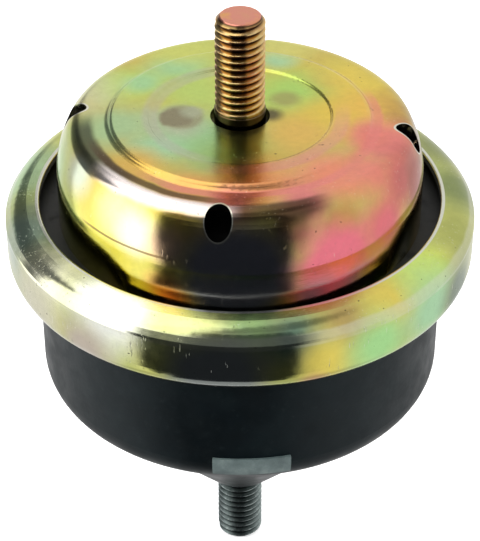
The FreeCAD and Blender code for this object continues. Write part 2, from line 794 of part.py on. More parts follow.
def build_diaphragm():
    """Rolling rubber diaphragm: a thick bead on the cup's shoulder and a thin hanging skin."""
    bead_bore = minus(cartridge_radius, "bead_width")
    foot_bore = plus(bead_bore, "bead_undercut")
    notch_outer = minus(cartridge_radius, "stiffener_inset")
    notch_inner = minus(notch_outer, "stiffener_width")
    notch_floor = minus(lower_grid_base, "stiffener_sheet")
    skin_start = plus(cup_seat, "skin_thickness")
    body = turned("diaphragm", [
        (foot_bore, cup_seat),
        (cartridge_radius, cup_seat),
        (cartridge_radius, lower_grid_base),
        (notch_outer, lower_grid_base),
        (notch_outer, notch_floor),
        (notch_inner, notch_floor),
        (notch_inner, lower_grid_base),
        (bead_bore, lower_grid_base),
        (bead_bore, plus(skin_start, "skin_thickness")),
        (minus("roll_radius", "skin_thickness / 2"), plus("roll_height", "skin_thickness")),
        ("valley_radius", plus("valley_height", "skin_thickness")),
        ("crown_radius", plus("crown_height", "skin_thickness")),
        ("0", plus("crown_height", "skin_thickness")),
        ("0", "crown_height"),
        (minus("crown_radius", "skin_thickness / 3"), "crown_height"),
        ("valley_radius", "valley_height"),
        (plus("roll_radius", "skin_thickness / 2"), "roll_height"),
        (foot_bore, skin_start),
    ])
    rounded(body, "cup_corner_round - cup_sheet - crimp_clearance", (cartridge_radius, cup_seat))
    rounded(body, "valley_round", ("valley_radius", plus("valley_height", "skin_thickness")),
            ("valley_radius", "valley_height"))


def build_diaphragm_ring():
    """Steel stiffener let into the top of the diaphragm's bead."""
    outer = minus(cartridge_radius, "stiffener_inset")
    inner = minus(outer, "stiffener_width")
    base = minus(lower_grid_base, "stiffener_sheet")
    turned("diaphragm_ring", [
        (inner, base),
        (outer, base),
        (outer, lower_grid_base),
        (inner, lower_grid_base),
    ])


def build_lower_cup():
    """Deep-drawn cup: crimped flange, straight wall, inner shoulder, funnel and stud boss."""
    funnel = plus("180", slope("funnel_height",
                               "funnel_mouth_radius - funnel_break_radius"))
    boss = "180 + boss_slope"
    flange_radius = minus(ring_bore, "cup_flange_inset")
    inner_face = minus("cup_radius", "cup_sheet")
    inner_mouth = inside("funnel_mouth_radius", "cup_floor", "180", funnel, "cup_sheet")
    inner_break = inside("funnel_break_radius", "funnel_break_height", funnel, boss, "cup_sheet")
    inner_boss = inside("boss_radius", "0", boss, "180", "cup_sheet")
    hole = plus("stud_neck_radius", "press_clearance")
    body = turned("lower_cup", [
        (flange_radius, "cup_flange_top"),
        (flange_radius, "cup_flange_base"),
        ("cup_radius", "cup_flange_base"),
        ("cup_radius", "cup_floor"),
        ("funnel_mouth_radius", "cup_floor"),
        ("funnel_break_radius", "funnel_break_height"),
        ("boss_radius", "0"),
        (hole, "0"),
        (hole, "cup_sheet"),
        (inner_boss[0], "cup_sheet"),
        inner_break,
        (inner_mouth[0], cup_seat),
        (inner_face, cup_seat),
        (inner_face, "cup_flange_top"),
    ])
    rounded(body, "cup_corner_round", ("cup_radius", "cup_floor"))
    rounded(body, "cup_corner_round - cup_sheet", (inner_face, cup_seat))
    rounded(body, "cup_bend_round", ("cup_radius", "cup_flange_base"))
    rounded(body, "cup_bend_round + cup_sheet", (inner_face, "cup_flange_top"))
    rounded(body, "cup_flange_round", (flange_radius, "cup_flange_base"))
    rounded(body, "mouth_round", ("funnel_mouth_radius", "cup_floor"))
    rounded(body, "funnel_round", ("funnel_break_radius", "funnel_break_height"), inner_break)
    rounded(body, "boss_round", ("boss_radius", "0"))
    vent = new_sketch(body, "vent", "XY_Plane")
    draw_circle(vent, "0", "vent_place", "vent_radius")
    pocketed(body, vent, "vent_cut", "vent_place", True)


def build_lower_stud():
    """Stud with a round head and a plain neck, pressed into the boss from inside the cup."""
    tip = "-lower_stud_reach"
    neck_end = "-stud_neck_length"
    head_top = plus("cup_sheet", "lower_head_height")
    body = turned("lower_stud", [
        ("0", tip),
        ("stud_radius", tip),
        ("stud_radius", neck_end),
        ("stud_neck_radius", neck_end),
        ("stud_neck_radius", "cup_sheet"),
        ("lower_head_radius", "cup_sheet"),
        ("lower_head_radius", head_top),
        ("0", head_top),
    ])
    bevelled(body, "stud_chamfer", ("stud_radius", tip))
    bevelled(body, "lower_head_bevel", ("lower_head_radius", head_top))


def build_id_label():
    """Blank strip that follows the cup's wall and the start of its lower corner."""
    body = new_body("id_label")
    sketch = new_sketch(body, "label_section", "XZ_Plane")
    centre_x = minus("cup_radius", "cup_corner_round")
    centre_y = plus("cup_floor", "cup_corner_round")
    top = plus(centre_y, "label_rise")
    bottom = minus(centre_y, "label_drop")
    centre = FreeCAD.Vector(number(centre_x), number(centre_y), 0)
    angle = -math.asin(number("label_drop / cup_corner_round"))
    axis = FreeCAD.Vector(0, 0, 1)
    radii = ("cup_corner_round", "cup_corner_round + label_thickness")
    arcs = [sketch.addGeometry(Part.ArcOfCircle(Part.Circle(centre, axis, number(radius)), angle, 0))
            for radius in radii]
    faces = ["cup_radius", "cup_radius + label_thickness"]
    walls = [sketch.addGeometry(Part.LineSegment(
        FreeCAD.Vector(number(face), centre.y, 0), FreeCAD.Vector(number(face), number(top), 0)))
        for face in faces]
    ends = [sketch.getPoint(arc, 1) for arc in arcs]
    lid = sketch.addGeometry(Part.LineSegment(
        FreeCAD.Vector(number(faces[0]), number(top), 0), FreeCAD.Vector(number(faces[1]), number(top), 0)))
    sill = sketch.addGeometry(Part.LineSegment(ends[0], ends[1]))
    for arc, wall, face in zip(arcs, walls, faces):
        sketch.addConstraint(Sketcher.Constraint("Tangent", arc, 2, wall, 1))
        place_point(sketch, wall, 2, face, top)
        sketch.addConstraint(Sketcher.Constraint("Vertical", wall))
    place_point(sketch, arcs[0], 3, centre_x, centre_y)
    sketch.addConstraint(Sketcher.Constraint("Coincident", arcs[1], 3, arcs[0], 3))
    sketch.addConstraint(Sketcher.Constraint("Coincident", lid, 1, walls[0], 2))
    sketch.addConstraint(Sketcher.Constraint("Coincident", lid, 2, walls[1], 2))
    sketch.addConstraint(Sketcher.Constraint("Coincident", sill, 1, arcs[0], 1))
    sketch.addConstraint(Sketcher.Constraint("Coincident", sill, 2, arcs[1], 1))
    place_point(sketch, arcs[0], 1, None, bottom)
    sketch.addConstraint(Sketcher.Constraint("PointOnObject", arcs[0], 3, sill))
    strip = body.newObject("PartDesign::Revolution", "label_strip")
    strip.Profile = sketch
    strip.ReferenceAxis = (sketch, ["V_Axis"])
    strip.setExpression("Angle", bind("label_width / cup_radius * 180 / pi"))
    strip.Midplane = True
    body.Placement = turned_frame(FreeCAD.Vector(0, 0, 1), "label_turn - 90")
    doc.recompute()


# The channel starts under the window in the upper grid and ends over the one in the lower grid
window_half_angle = "(window_length / 2 / channel_radius * 180 / pi)"
channel_entry = "-%s" % window_half_angle
channel_exit = "(%s - channel_angle)" % window_half_angle

build_upper_stud()
build_bell_cap()
build_rebound_buffer()
build_inner_core()
build_main_spring()
build_outer_armature()
build_crimp_ring()
build_grid("upper_grid", upper_grid_base, channel_entry)
build_track_body()
build_decoupler()
build_grid("lower_grid", lower_grid_base, channel_exit)
build_track_rivets()
build_diaphragm_ring()
build_diaphragm()
build_lower_cup()
build_lower_stud()
build_id_label()
doc.recompute()

for item in doc.Objects:
    if "Invalid" in item.State or "Error" in item.State:
        raise RuntimeError("%s was not built: %s" % (item.Name, item.State))
for node in nodes:
    if node.Shape.isNull() or not node.Shape.isValid():
        raise RuntimeError(node.Label + " has no valid shape")

os.makedirs("parts", exist_ok=True)
for node in nodes:
    node.Shape.exportStep("parts/%s.step" % node.Label)
    print("%s: %d solid, %.1f mm3" % (node.Label, len(node.Shape.Solids), node.Shape.Volume))
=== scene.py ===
import math

import bmesh
import bpy
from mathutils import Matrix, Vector


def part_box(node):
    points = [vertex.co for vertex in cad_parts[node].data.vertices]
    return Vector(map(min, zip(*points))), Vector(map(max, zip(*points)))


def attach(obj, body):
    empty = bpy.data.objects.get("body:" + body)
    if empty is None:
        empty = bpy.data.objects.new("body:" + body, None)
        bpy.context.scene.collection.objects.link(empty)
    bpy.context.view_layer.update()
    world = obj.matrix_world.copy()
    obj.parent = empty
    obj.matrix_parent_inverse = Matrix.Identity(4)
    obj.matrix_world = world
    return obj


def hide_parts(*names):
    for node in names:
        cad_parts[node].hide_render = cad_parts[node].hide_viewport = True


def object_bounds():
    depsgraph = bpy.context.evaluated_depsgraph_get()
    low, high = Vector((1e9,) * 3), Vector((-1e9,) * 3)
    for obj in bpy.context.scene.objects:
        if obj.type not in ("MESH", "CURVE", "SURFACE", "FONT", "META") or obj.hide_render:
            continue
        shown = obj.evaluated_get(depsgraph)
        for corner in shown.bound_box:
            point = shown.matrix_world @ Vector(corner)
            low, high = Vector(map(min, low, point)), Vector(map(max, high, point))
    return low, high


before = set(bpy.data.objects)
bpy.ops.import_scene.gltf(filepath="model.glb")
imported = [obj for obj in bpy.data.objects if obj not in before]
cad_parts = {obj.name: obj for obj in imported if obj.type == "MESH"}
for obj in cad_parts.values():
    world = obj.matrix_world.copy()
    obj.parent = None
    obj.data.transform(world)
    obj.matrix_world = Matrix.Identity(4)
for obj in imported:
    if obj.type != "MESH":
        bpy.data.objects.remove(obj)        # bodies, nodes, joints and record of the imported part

cadLow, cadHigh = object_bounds()
mm = 0.001
print("frame loaded,", len(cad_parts), "nodes")


def toLinear(code):
    channels = [int(code[start:start + 2], 16) / 255 for start in (1, 3, 5)]
    return [c / 12.92 if c <= 0.04045 else ((c + 0.055) / 1.055) ** 2.4 for c in channels] + [1.0]


def addNode(tree, kind, feeds=None, out=0, stops=(), **settings):
    # one node with its settings and links, which gives back the output that is wanted;
    # a shading node's kind is written without its prefix
    newNode = tree.nodes.new(kind if "Node" in kind else "ShaderNode" + kind)
    for name, value in settings.items():
        setattr(newNode, name, value)
    for name, value in (feeds or {}).items():
        if isinstance(value, bpy.types.NodeSocket):
            tree.links.new(value, newNode.inputs[name])
        else:
            newNode.inputs[name].default_value = value
    if stops:
        band = newNode.color_ramp.elements
        while len(band) < len(stops):
            band.new(0.5)
        for element, (position, code) in zip(band, stops):
            element.position = position
            element.color = toLinear(code)
    return newNode.outputs[out] if newNode.outputs else None


def startMaterial(name):
    material = bpy.data.materials.new(name)
    material.use_nodes = True
    material.node_tree.nodes.clear()
    return material, material.node_tree


def inMillimetres(tree):
    # object coordinates in millimetres, so that every size in a material is a real one
    place = addNode(tree, "TexCoord", out="Object")
    return addNode(tree, "Mapping", {"Vector": place, "Scale": (1 / mm,) * 3})


def finishMaterial(tree, relief, strength, depth, surface):
    # a relief of a real depth in millimetres on the surface
    bump = addNode(tree, "Bump", {"Height": relief, "Strength": strength, "Distance": depth * mm})
    shader = addNode(tree, "BsdfPrincipled", {**surface, "Normal": bump})
    addNode(tree, "OutputMaterial", {"Surface": shader})


def axisDistance(tree, place):
    # distance from the axis, and height
    apart = addNode(tree, "SeparateXYZ", {"Vector": place}).node.outputs
    flat = addNode(tree, "CombineXYZ", {"X": apart["X"], "Y": apart["Y"]})
    radius = addNode(tree, "VectorMath", {0: flat}, out="Value", operation="LENGTH")
    return radius, apart["Z"]


def patches(tree, place, look, least=0.0, most=1.0):
    # a cloudy pattern of a real size in millimetres, coming in between two of its levels
    cloud = addNode(tree, "TexNoise", {
        "Vector": place, "Scale": 1 / look["size"], "Detail": look["detail"], "Roughness": look["grit"]})
    return addNode(tree, "MapRange", {
        "Value": cloud, "From Min": look["from"], "From Max": look["full"], "To Min": least,
        "To Max": most}, interpolation_type="SMOOTHSTEP")


def layOver(tree, under, mask, share, code):
    # a colour laid over another one where the mask says
    amount = addNode(tree, "Math", {0: mask, 1: share}, operation="MULTIPLY")
    return addNode(tree, "Mix", {0: amount, 6: under, 7: toLinear(code)}, out=2, data_type="RGBA")


def sector(tree, sideways, turn, full, gone):
    # 1 within so many degrees of a direction round the axis, fading to 0 further round
    towards = (math.cos(math.radians(turn)), math.sin(math.radians(turn)), 0)
    facing = addNode(tree, "VectorMath", {0: sideways, 1: towards}, out="Value", operation="DOT_PRODUCT")
    return addNode(tree, "MapRange", {
        "Value": facing, "From Min": math.cos(math.radians(gone)),
        "From Max": math.cos(math.radians(full))}, interpolation_type="SMOOTHSTEP")


def lathe(mesh, profile, steps):
    # rings round Z through (radius, height) points; a radius of 0 closes the end
    rings = []
    for radius, height in profile:
        if radius == 0:
            rings.append([mesh.verts.new((0, 0, height))])
            continue
        rings.append([mesh.verts.new((radius * math.cos(turn), radius * math.sin(turn), height))
                      for turn in (2 * math.pi * step / steps for step in range(steps))])
    for lower, upper in zip(rings, rings[1:]):
        for step in range(steps):
            follower = (step + 1) % steps
            corners = [lower[step % len(lower)], lower[follower % len(lower)],
                       upper[follower % len(upper)], upper[step % len(upper)]]
            mesh.faces.new(list(dict.fromkeys(corners)))


def keepPiece(name, meshData, material, node):
    meshData.materials.clear()
    meshData.materials.append(material)
    meshData.shade_smooth()
    meshData.set_sharp_from_angle(angle=math.radians(40))
    piece = bpy.data.objects.new(name, meshData)
    bpy.context.scene.collection.objects.link(piece)
    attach(piece, "root")
    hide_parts(node)
    return piece


# the two pressed sheets: pattern sizes and depths in millimetres
sheetMarks = {
    "wobble": {"size": 9.0, "detail": 3.0, "grit": 0.55},
    "halo": {"stray": 1.2, "core": 0.4, "rise": 0.5},
    "tone": {"size": 1.6, "detail": 4.0, "grit": 0.6, "from": 0.3, "full": 0.7, "least": 0.97, "most": 1.03},
    "rub": {"size": 0.9, "detail": 5.0, "grit": 0.7, "from": 0.62, "full": 0.7},
    "rubArea": {"size": 12.0, "detail": 2.0, "grit": 0.5, "from": 0.5, "full": 0.6},
    "rubDepth": 0.008, "rubRougher": 0.15,
    "scuff": {"detail": 2.0, "grit": 0.5, "from": 0.66, "full": 0.72},
    "scuffArea": {"size": 7.0, "detail": 2.0, "grit": 0.5, "from": 0.45, "full": 0.6},
    "speck": {"size": 0.8, "detail": 1.0, "grit": 0.4, "from": 0.77, "full": 0.8},
    "speckShare": 0.7, "speckColour": "#3a3226",
    "satin": {"size": 3.5, "detail": 3.0, "grit": 0.6, "from": 0.3, "full": 0.7}, "flatFade": 0.8,
    "peelSize": 0.45, "peelDepth": 0.003,
    "drawSize": 1.3, "drawStretch": (0.12, 0.12, 1.0), "drawDepth": 0.012,
}


def spotMask(tree, place, wobble, spot):
    # a soft patch round a point, with its edge pushed about by noise
    away = addNode(tree, "VectorMath", {0: place, 1: spot["at"]}, operation="SUBTRACT")
    away = addNode(tree, "VectorMath", {0: away, 1: spot.get("squeeze", (1, 1, 1))}, operation="MULTIPLY")
    reach = addNode(tree, "VectorMath", {0: away}, out="Value", operation="LENGTH")
    push = spot.get("ragged", 0.35) * spot["size"]
    ragged = addNode(tree, "Math", {0: wobble, 1: push, 2: reach}, operation="MULTIPLY_ADD")
    core = spot["size"] * (1 - spot.get("soft", 0.85))
    return addNode(tree, "MapRange", {
        "Value": ragged, "From Min": push / 2 + spot["size"], "From Max": push / 2 + core},
        interpolation_type="SMOOTHSTEP")


def haloMask(tree, radius, height, sideways, wobble, ring):
    # a band at one radius or height, round the whole turn or over a span of it
    halo = sheetMarks["halo"]
    along, middle = (height, ring["height"]) if "height" in ring else (radius, ring["radius"])
    away = addNode(tree, "Math", {0: along, 1: middle}, operation="SUBTRACT")
    stray = min(halo["stray"], ring["width"])
    away = addNode(tree, "Math", {0: wobble, 1: stray, 2: away}, operation="MULTIPLY_ADD")
    away = addNode(tree, "Math", {0: away}, operation="ABSOLUTE")
    mask = addNode(tree, "MapRange", {
        "Value": away, "From Min": ring["width"], "From Max": ring["width"] * halo["core"]},
        interpolation_type="SMOOTHSTEP")
    level = addNode(tree, "MapRange", {
        "Value": height, "From Min": ring["above"] - halo["rise"], "From Max": ring["above"]},
        interpolation_type="SMOOTHSTEP")
    mask = addNode(tree, "Math", {0: mask, 1: level}, operation="MULTIPLY")
    if "span" in ring:
        facing = sector(tree, sideways, ring["turn"], ring["span"] / 4, ring["span"] / 2)
        mask = addNode(tree, "Math", {0: mask, 1: facing}, operation="MULTIPLY")
    return mask


def holeRimEdgeAndHighlight(tree, place, radius, height, holes):
    # a pale band round the punched holes' edges, which carries a painted highlight; the holes repeat round
    # the axis, so the place is folded onto one of them
    apart = addNode(tree, "SeparateXYZ", {"Vector": place}).node.outputs
    turn = addNode(tree, "Math", {0: apart["Y"], 1: apart["X"]}, operation="ARCTAN2")
    share = 2 * math.pi / holes["count"]
    start = 4 * math.pi + share / 2 - math.radians(holes["turn"])
    turn = addNode(tree, "Math", {0: turn, 1: start}, operation="ADD")
    turn = addNode(tree, "Math", {0: turn, 1: share}, operation="MODULO")
    turn = addNode(tree, "Math", {0: turn, 1: share / 2}, operation="SUBTRACT")
    across = addNode(tree, "Math", {0: turn}, operation="SINE")
    across = addNode(tree, "Math", {0: radius, 1: across}, operation="MULTIPLY")
    across = addNode(tree, "Math", {0: across, 1: holes["width"] / 2}, operation="DIVIDE")
    outwards = addNode(tree, "Math", {0: turn}, operation="COSINE")
    outwards = addNode(tree, "Math", {0: radius, 1: outwards}, operation="MULTIPLY")
    # the wall leans at 45 degrees there
    along = addNode(tree, "Math", {0: height, 1: outwards}, operation="SUBTRACT")
    along = addNode(tree, "Math", {0: along, 1: math.sqrt(0.5)}, operation="MULTIPLY")
    along = addNode(tree, "Math", {0: along, 1: holes["along"]}, operation="SUBTRACT")
    along = addNode(tree, "Math", {0: along, 1: holes["length"] / 2}, operation="DIVIDE")
    reach = addNode(tree, "CombineXYZ", {"X": along, "Y": across})
    reach = addNode(tree, "VectorMath", {0: reach}, out="Value", operation="LENGTH")
    outer, inner = [addNode(tree, "MapRange", {"Value": reach, "From Min": none, "From Max": full},
                            interpolation_type="SMOOTHSTEP") for none, full in holes["rim"]]
    return addNode(tree, "Math", {0: outer, 1: inner}, operation="MULTIPLY")


def passivatedSheet(name, look):
    # Yellow-passivated zinc on pressed steel: a film that runs from gold through green and
    # pink as its thickness changes, over a satin metal with shallow press waves. Among its
    # patches and bands are painted highlights, painted reflections and painted shade.
    material, tree = startMaterial(name)
    place = inMillimetres(tree)
    radius, height = axisDistance(tree, place)
    marks = sheetMarks
    film = addNode(tree, "TexNoise", {
        "Vector": place, "Scale": 1 / look["filmSize"], "Detail": 1.5, "Roughness": 0.45, "Distortion": 0.4})
    colour = addNode(tree, "ValToRGB", {"Fac": film}, stops=look["filmColours"])
    wobble = addNode(tree, "TexNoise", {
        "Vector": place, "Scale": 1 / marks["wobble"]["size"], "Detail": marks["wobble"]["detail"],
        "Roughness": marks["wobble"]["grit"]})
    # patches of film colour, and among them painted highlights, painted reflections and a painted shadow
    for spot in look["spots"]:
        mask = spotMask(tree, place, wobble, spot)
        colour = layOver(tree, colour, mask, spot.get("share", 1.0), spot["colour"])
    # bands round the axis: pink ones where the film runs thin against a pressed step, and dark and white ones
    # that are painted reflections and painted highlights
    sideways = addNode(tree, "VectorMath", {0: place, 1: (1, 1, 0)}, operation="MULTIPLY")
    sideways = addNode(tree, "VectorMath", {0: sideways}, operation="NORMALIZE")
    for ring in look["filmBandsAndPaintedLight"]:
        mask = haloMask(tree, radius, height, sideways, wobble, ring)
        colour = layOver(tree, colour, mask, ring["share"], ring["colour"])
    # fine cloudy change of tone
    tone = patches(tree, place, marks["tone"], marks["tone"]["least"], marks["tone"]["most"])
    colour = addNode(tree, "Mix", {0: 1.0, 6: colour, 7: tone}, out=2, data_type="RGBA",
                     blend_type="MULTIPLY")
    # rub marks, drag scuffs and handling specks
    rubPlace = addNode(tree, "Mapping", {"Vector": place, "Scale": look["rubStretch"]})
    rub = patches(tree, rubPlace, marks["rub"])
    rub = addNode(tree, "Math", {0: rub, 1: patches(tree, place, marks["rubArea"])}, operation="MULTIPLY")
    colour = layOver(tree, colour, rub, look["rubShare"], look["rubColour"])
    scuff = look["scuff"]
    drag = addNode(tree, "Mapping", {"Vector": place, "Scale": scuff["stretch"]})
    scuffed = patches(tree, drag, dict(marks["scuff"], size=scuff["size"]))
    scuffed = addNode(tree, "Math", {0: scuffed, 1: patches(tree, place, marks["scuffArea"])},
                      operation="MULTIPLY")
    colour = layOver(tree, colour, scuffed, scuff["share"], scuff["colour"])
    speck = patches(tree, place, marks["speck"])
    colour = layOver(tree, colour, speck, marks["speckShare"], marks["speckColour"])
    if "cutEdgeAndHighlight" in look:
        # sheared edge, where the bare zinc shows, with a painted highlight along it
        edge = look["cutEdgeAndHighlight"]
        inner = addNode(tree, "MapRange", {
            "Value": radius, "From Min": edge["radius"] + edge["outside"],
            "From Max": edge["radius"] - edge["inside"]}, interpolation_type="SMOOTHSTEP")
        upper = addNode(tree, "MapRange", {
            "Value": height, "From Min": edge["above"] - edge["fade"],
            "From Max": edge["above"] + edge["fade"]}, interpolation_type="SMOOTHSTEP")
        bareZincAndHighlight = addNode(tree, "Math", {0: inner, 1: upper}, operation="MULTIPLY")
        colour = layOver(tree, colour, bareZincAndHighlight, 1.0, edge["colour"])
    # a pale band round each punched hole: its sheared edge, with a painted highlight on it
    if "holes" in look:
        rim = holeRimEdgeAndHighlight(tree, place, radius, height, look["holes"])
        colour = layOver(tree, colour, rim, 1.0, look["holes"]["rimEdgeAndHighlightColour"])
    # satin, a little rougher where it is rubbed and on the flat top
    roughness = patches(tree, place, marks["satin"], look["roughLow"], look["roughHigh"])
    roughness = addNode(tree, "Math", {0: rub, 1: marks["rubRougher"], 2: roughness},
                        operation="MULTIPLY_ADD")
    flat = addNode(tree, "MapRange", {
        "Value": height, "From Min": look["flatAbove"] - marks["flatFade"], "From Max": look["flatAbove"]},
        interpolation_type="SMOOTHSTEP")
    roughness = addNode(tree, "Math", {0: flat, 1: look["flatRougher"], 2: roughness},
                        operation="MULTIPLY_ADD", use_clamp=True)
    # press waves, peel, drawing lines and the marks, each to its own depth
    waves = addNode(tree, "TexNoise", {
        "Vector": place, "Scale": 1 / look["waveSize"], "Detail": 1.0, "Roughness": 0.4})
    peel = addNode(tree, "TexNoise", {
        "Vector": place, "Scale": 1 / marks["peelSize"], "Detail": 2.0, "Roughness": 0.6})
    drawn = addNode(tree, "Mapping", {"Vector": place, "Scale": marks["drawStretch"]})
    lines = addNode(tree, "TexNoise", {
        "Vector": drawn, "Scale": 1 / marks["drawSize"], "Detail": 3.0, "Roughness": 0.6})
    relief = addNode(tree, "Math", {0: waves, 1: look["waveDepth"]}, operation="MULTIPLY")
    for pattern, depth in ((peel, marks["peelDepth"]), (lines, marks["drawDepth"]),
                           (rub, -marks["rubDepth"]), (scuffed, -scuff["depth"])):
        relief = addNode(tree, "Math", {0: pattern, 1: depth, 2: relief}, operation="MULTIPLY_ADD")
    if "flare" in look:
        # the foot of the wall is sprung outwards a little over part of its turn
        flare = look["flare"]
        below = addNode(tree, "Math", {0: flare["below"], 1: height}, operation="SUBTRACT")
        below = addNode(tree, "Math", {0: below, 1: 0.0}, operation="MAXIMUM")
        sprung = addNode(tree, "Math", {0: below, 1: below}, operation="MULTIPLY")
        sprung = addNode(tree, "Math", {0: sprung, 1: flare["curve"]}, operation="MULTIPLY")
        half = flare["span"] / 2
        facing = sector(tree, sideways, flare["turn"], half - flare["fade"], half)
        relief = addNode(tree, "Math", {0: sprung, 1: facing, 2: relief}, operation="MULTIPLY_ADD")
    finishMaterial(tree, relief, 1.0, 1.0, {"Base Color": colour, "Metallic": 1.0, "Roughness": roughness})
    return material


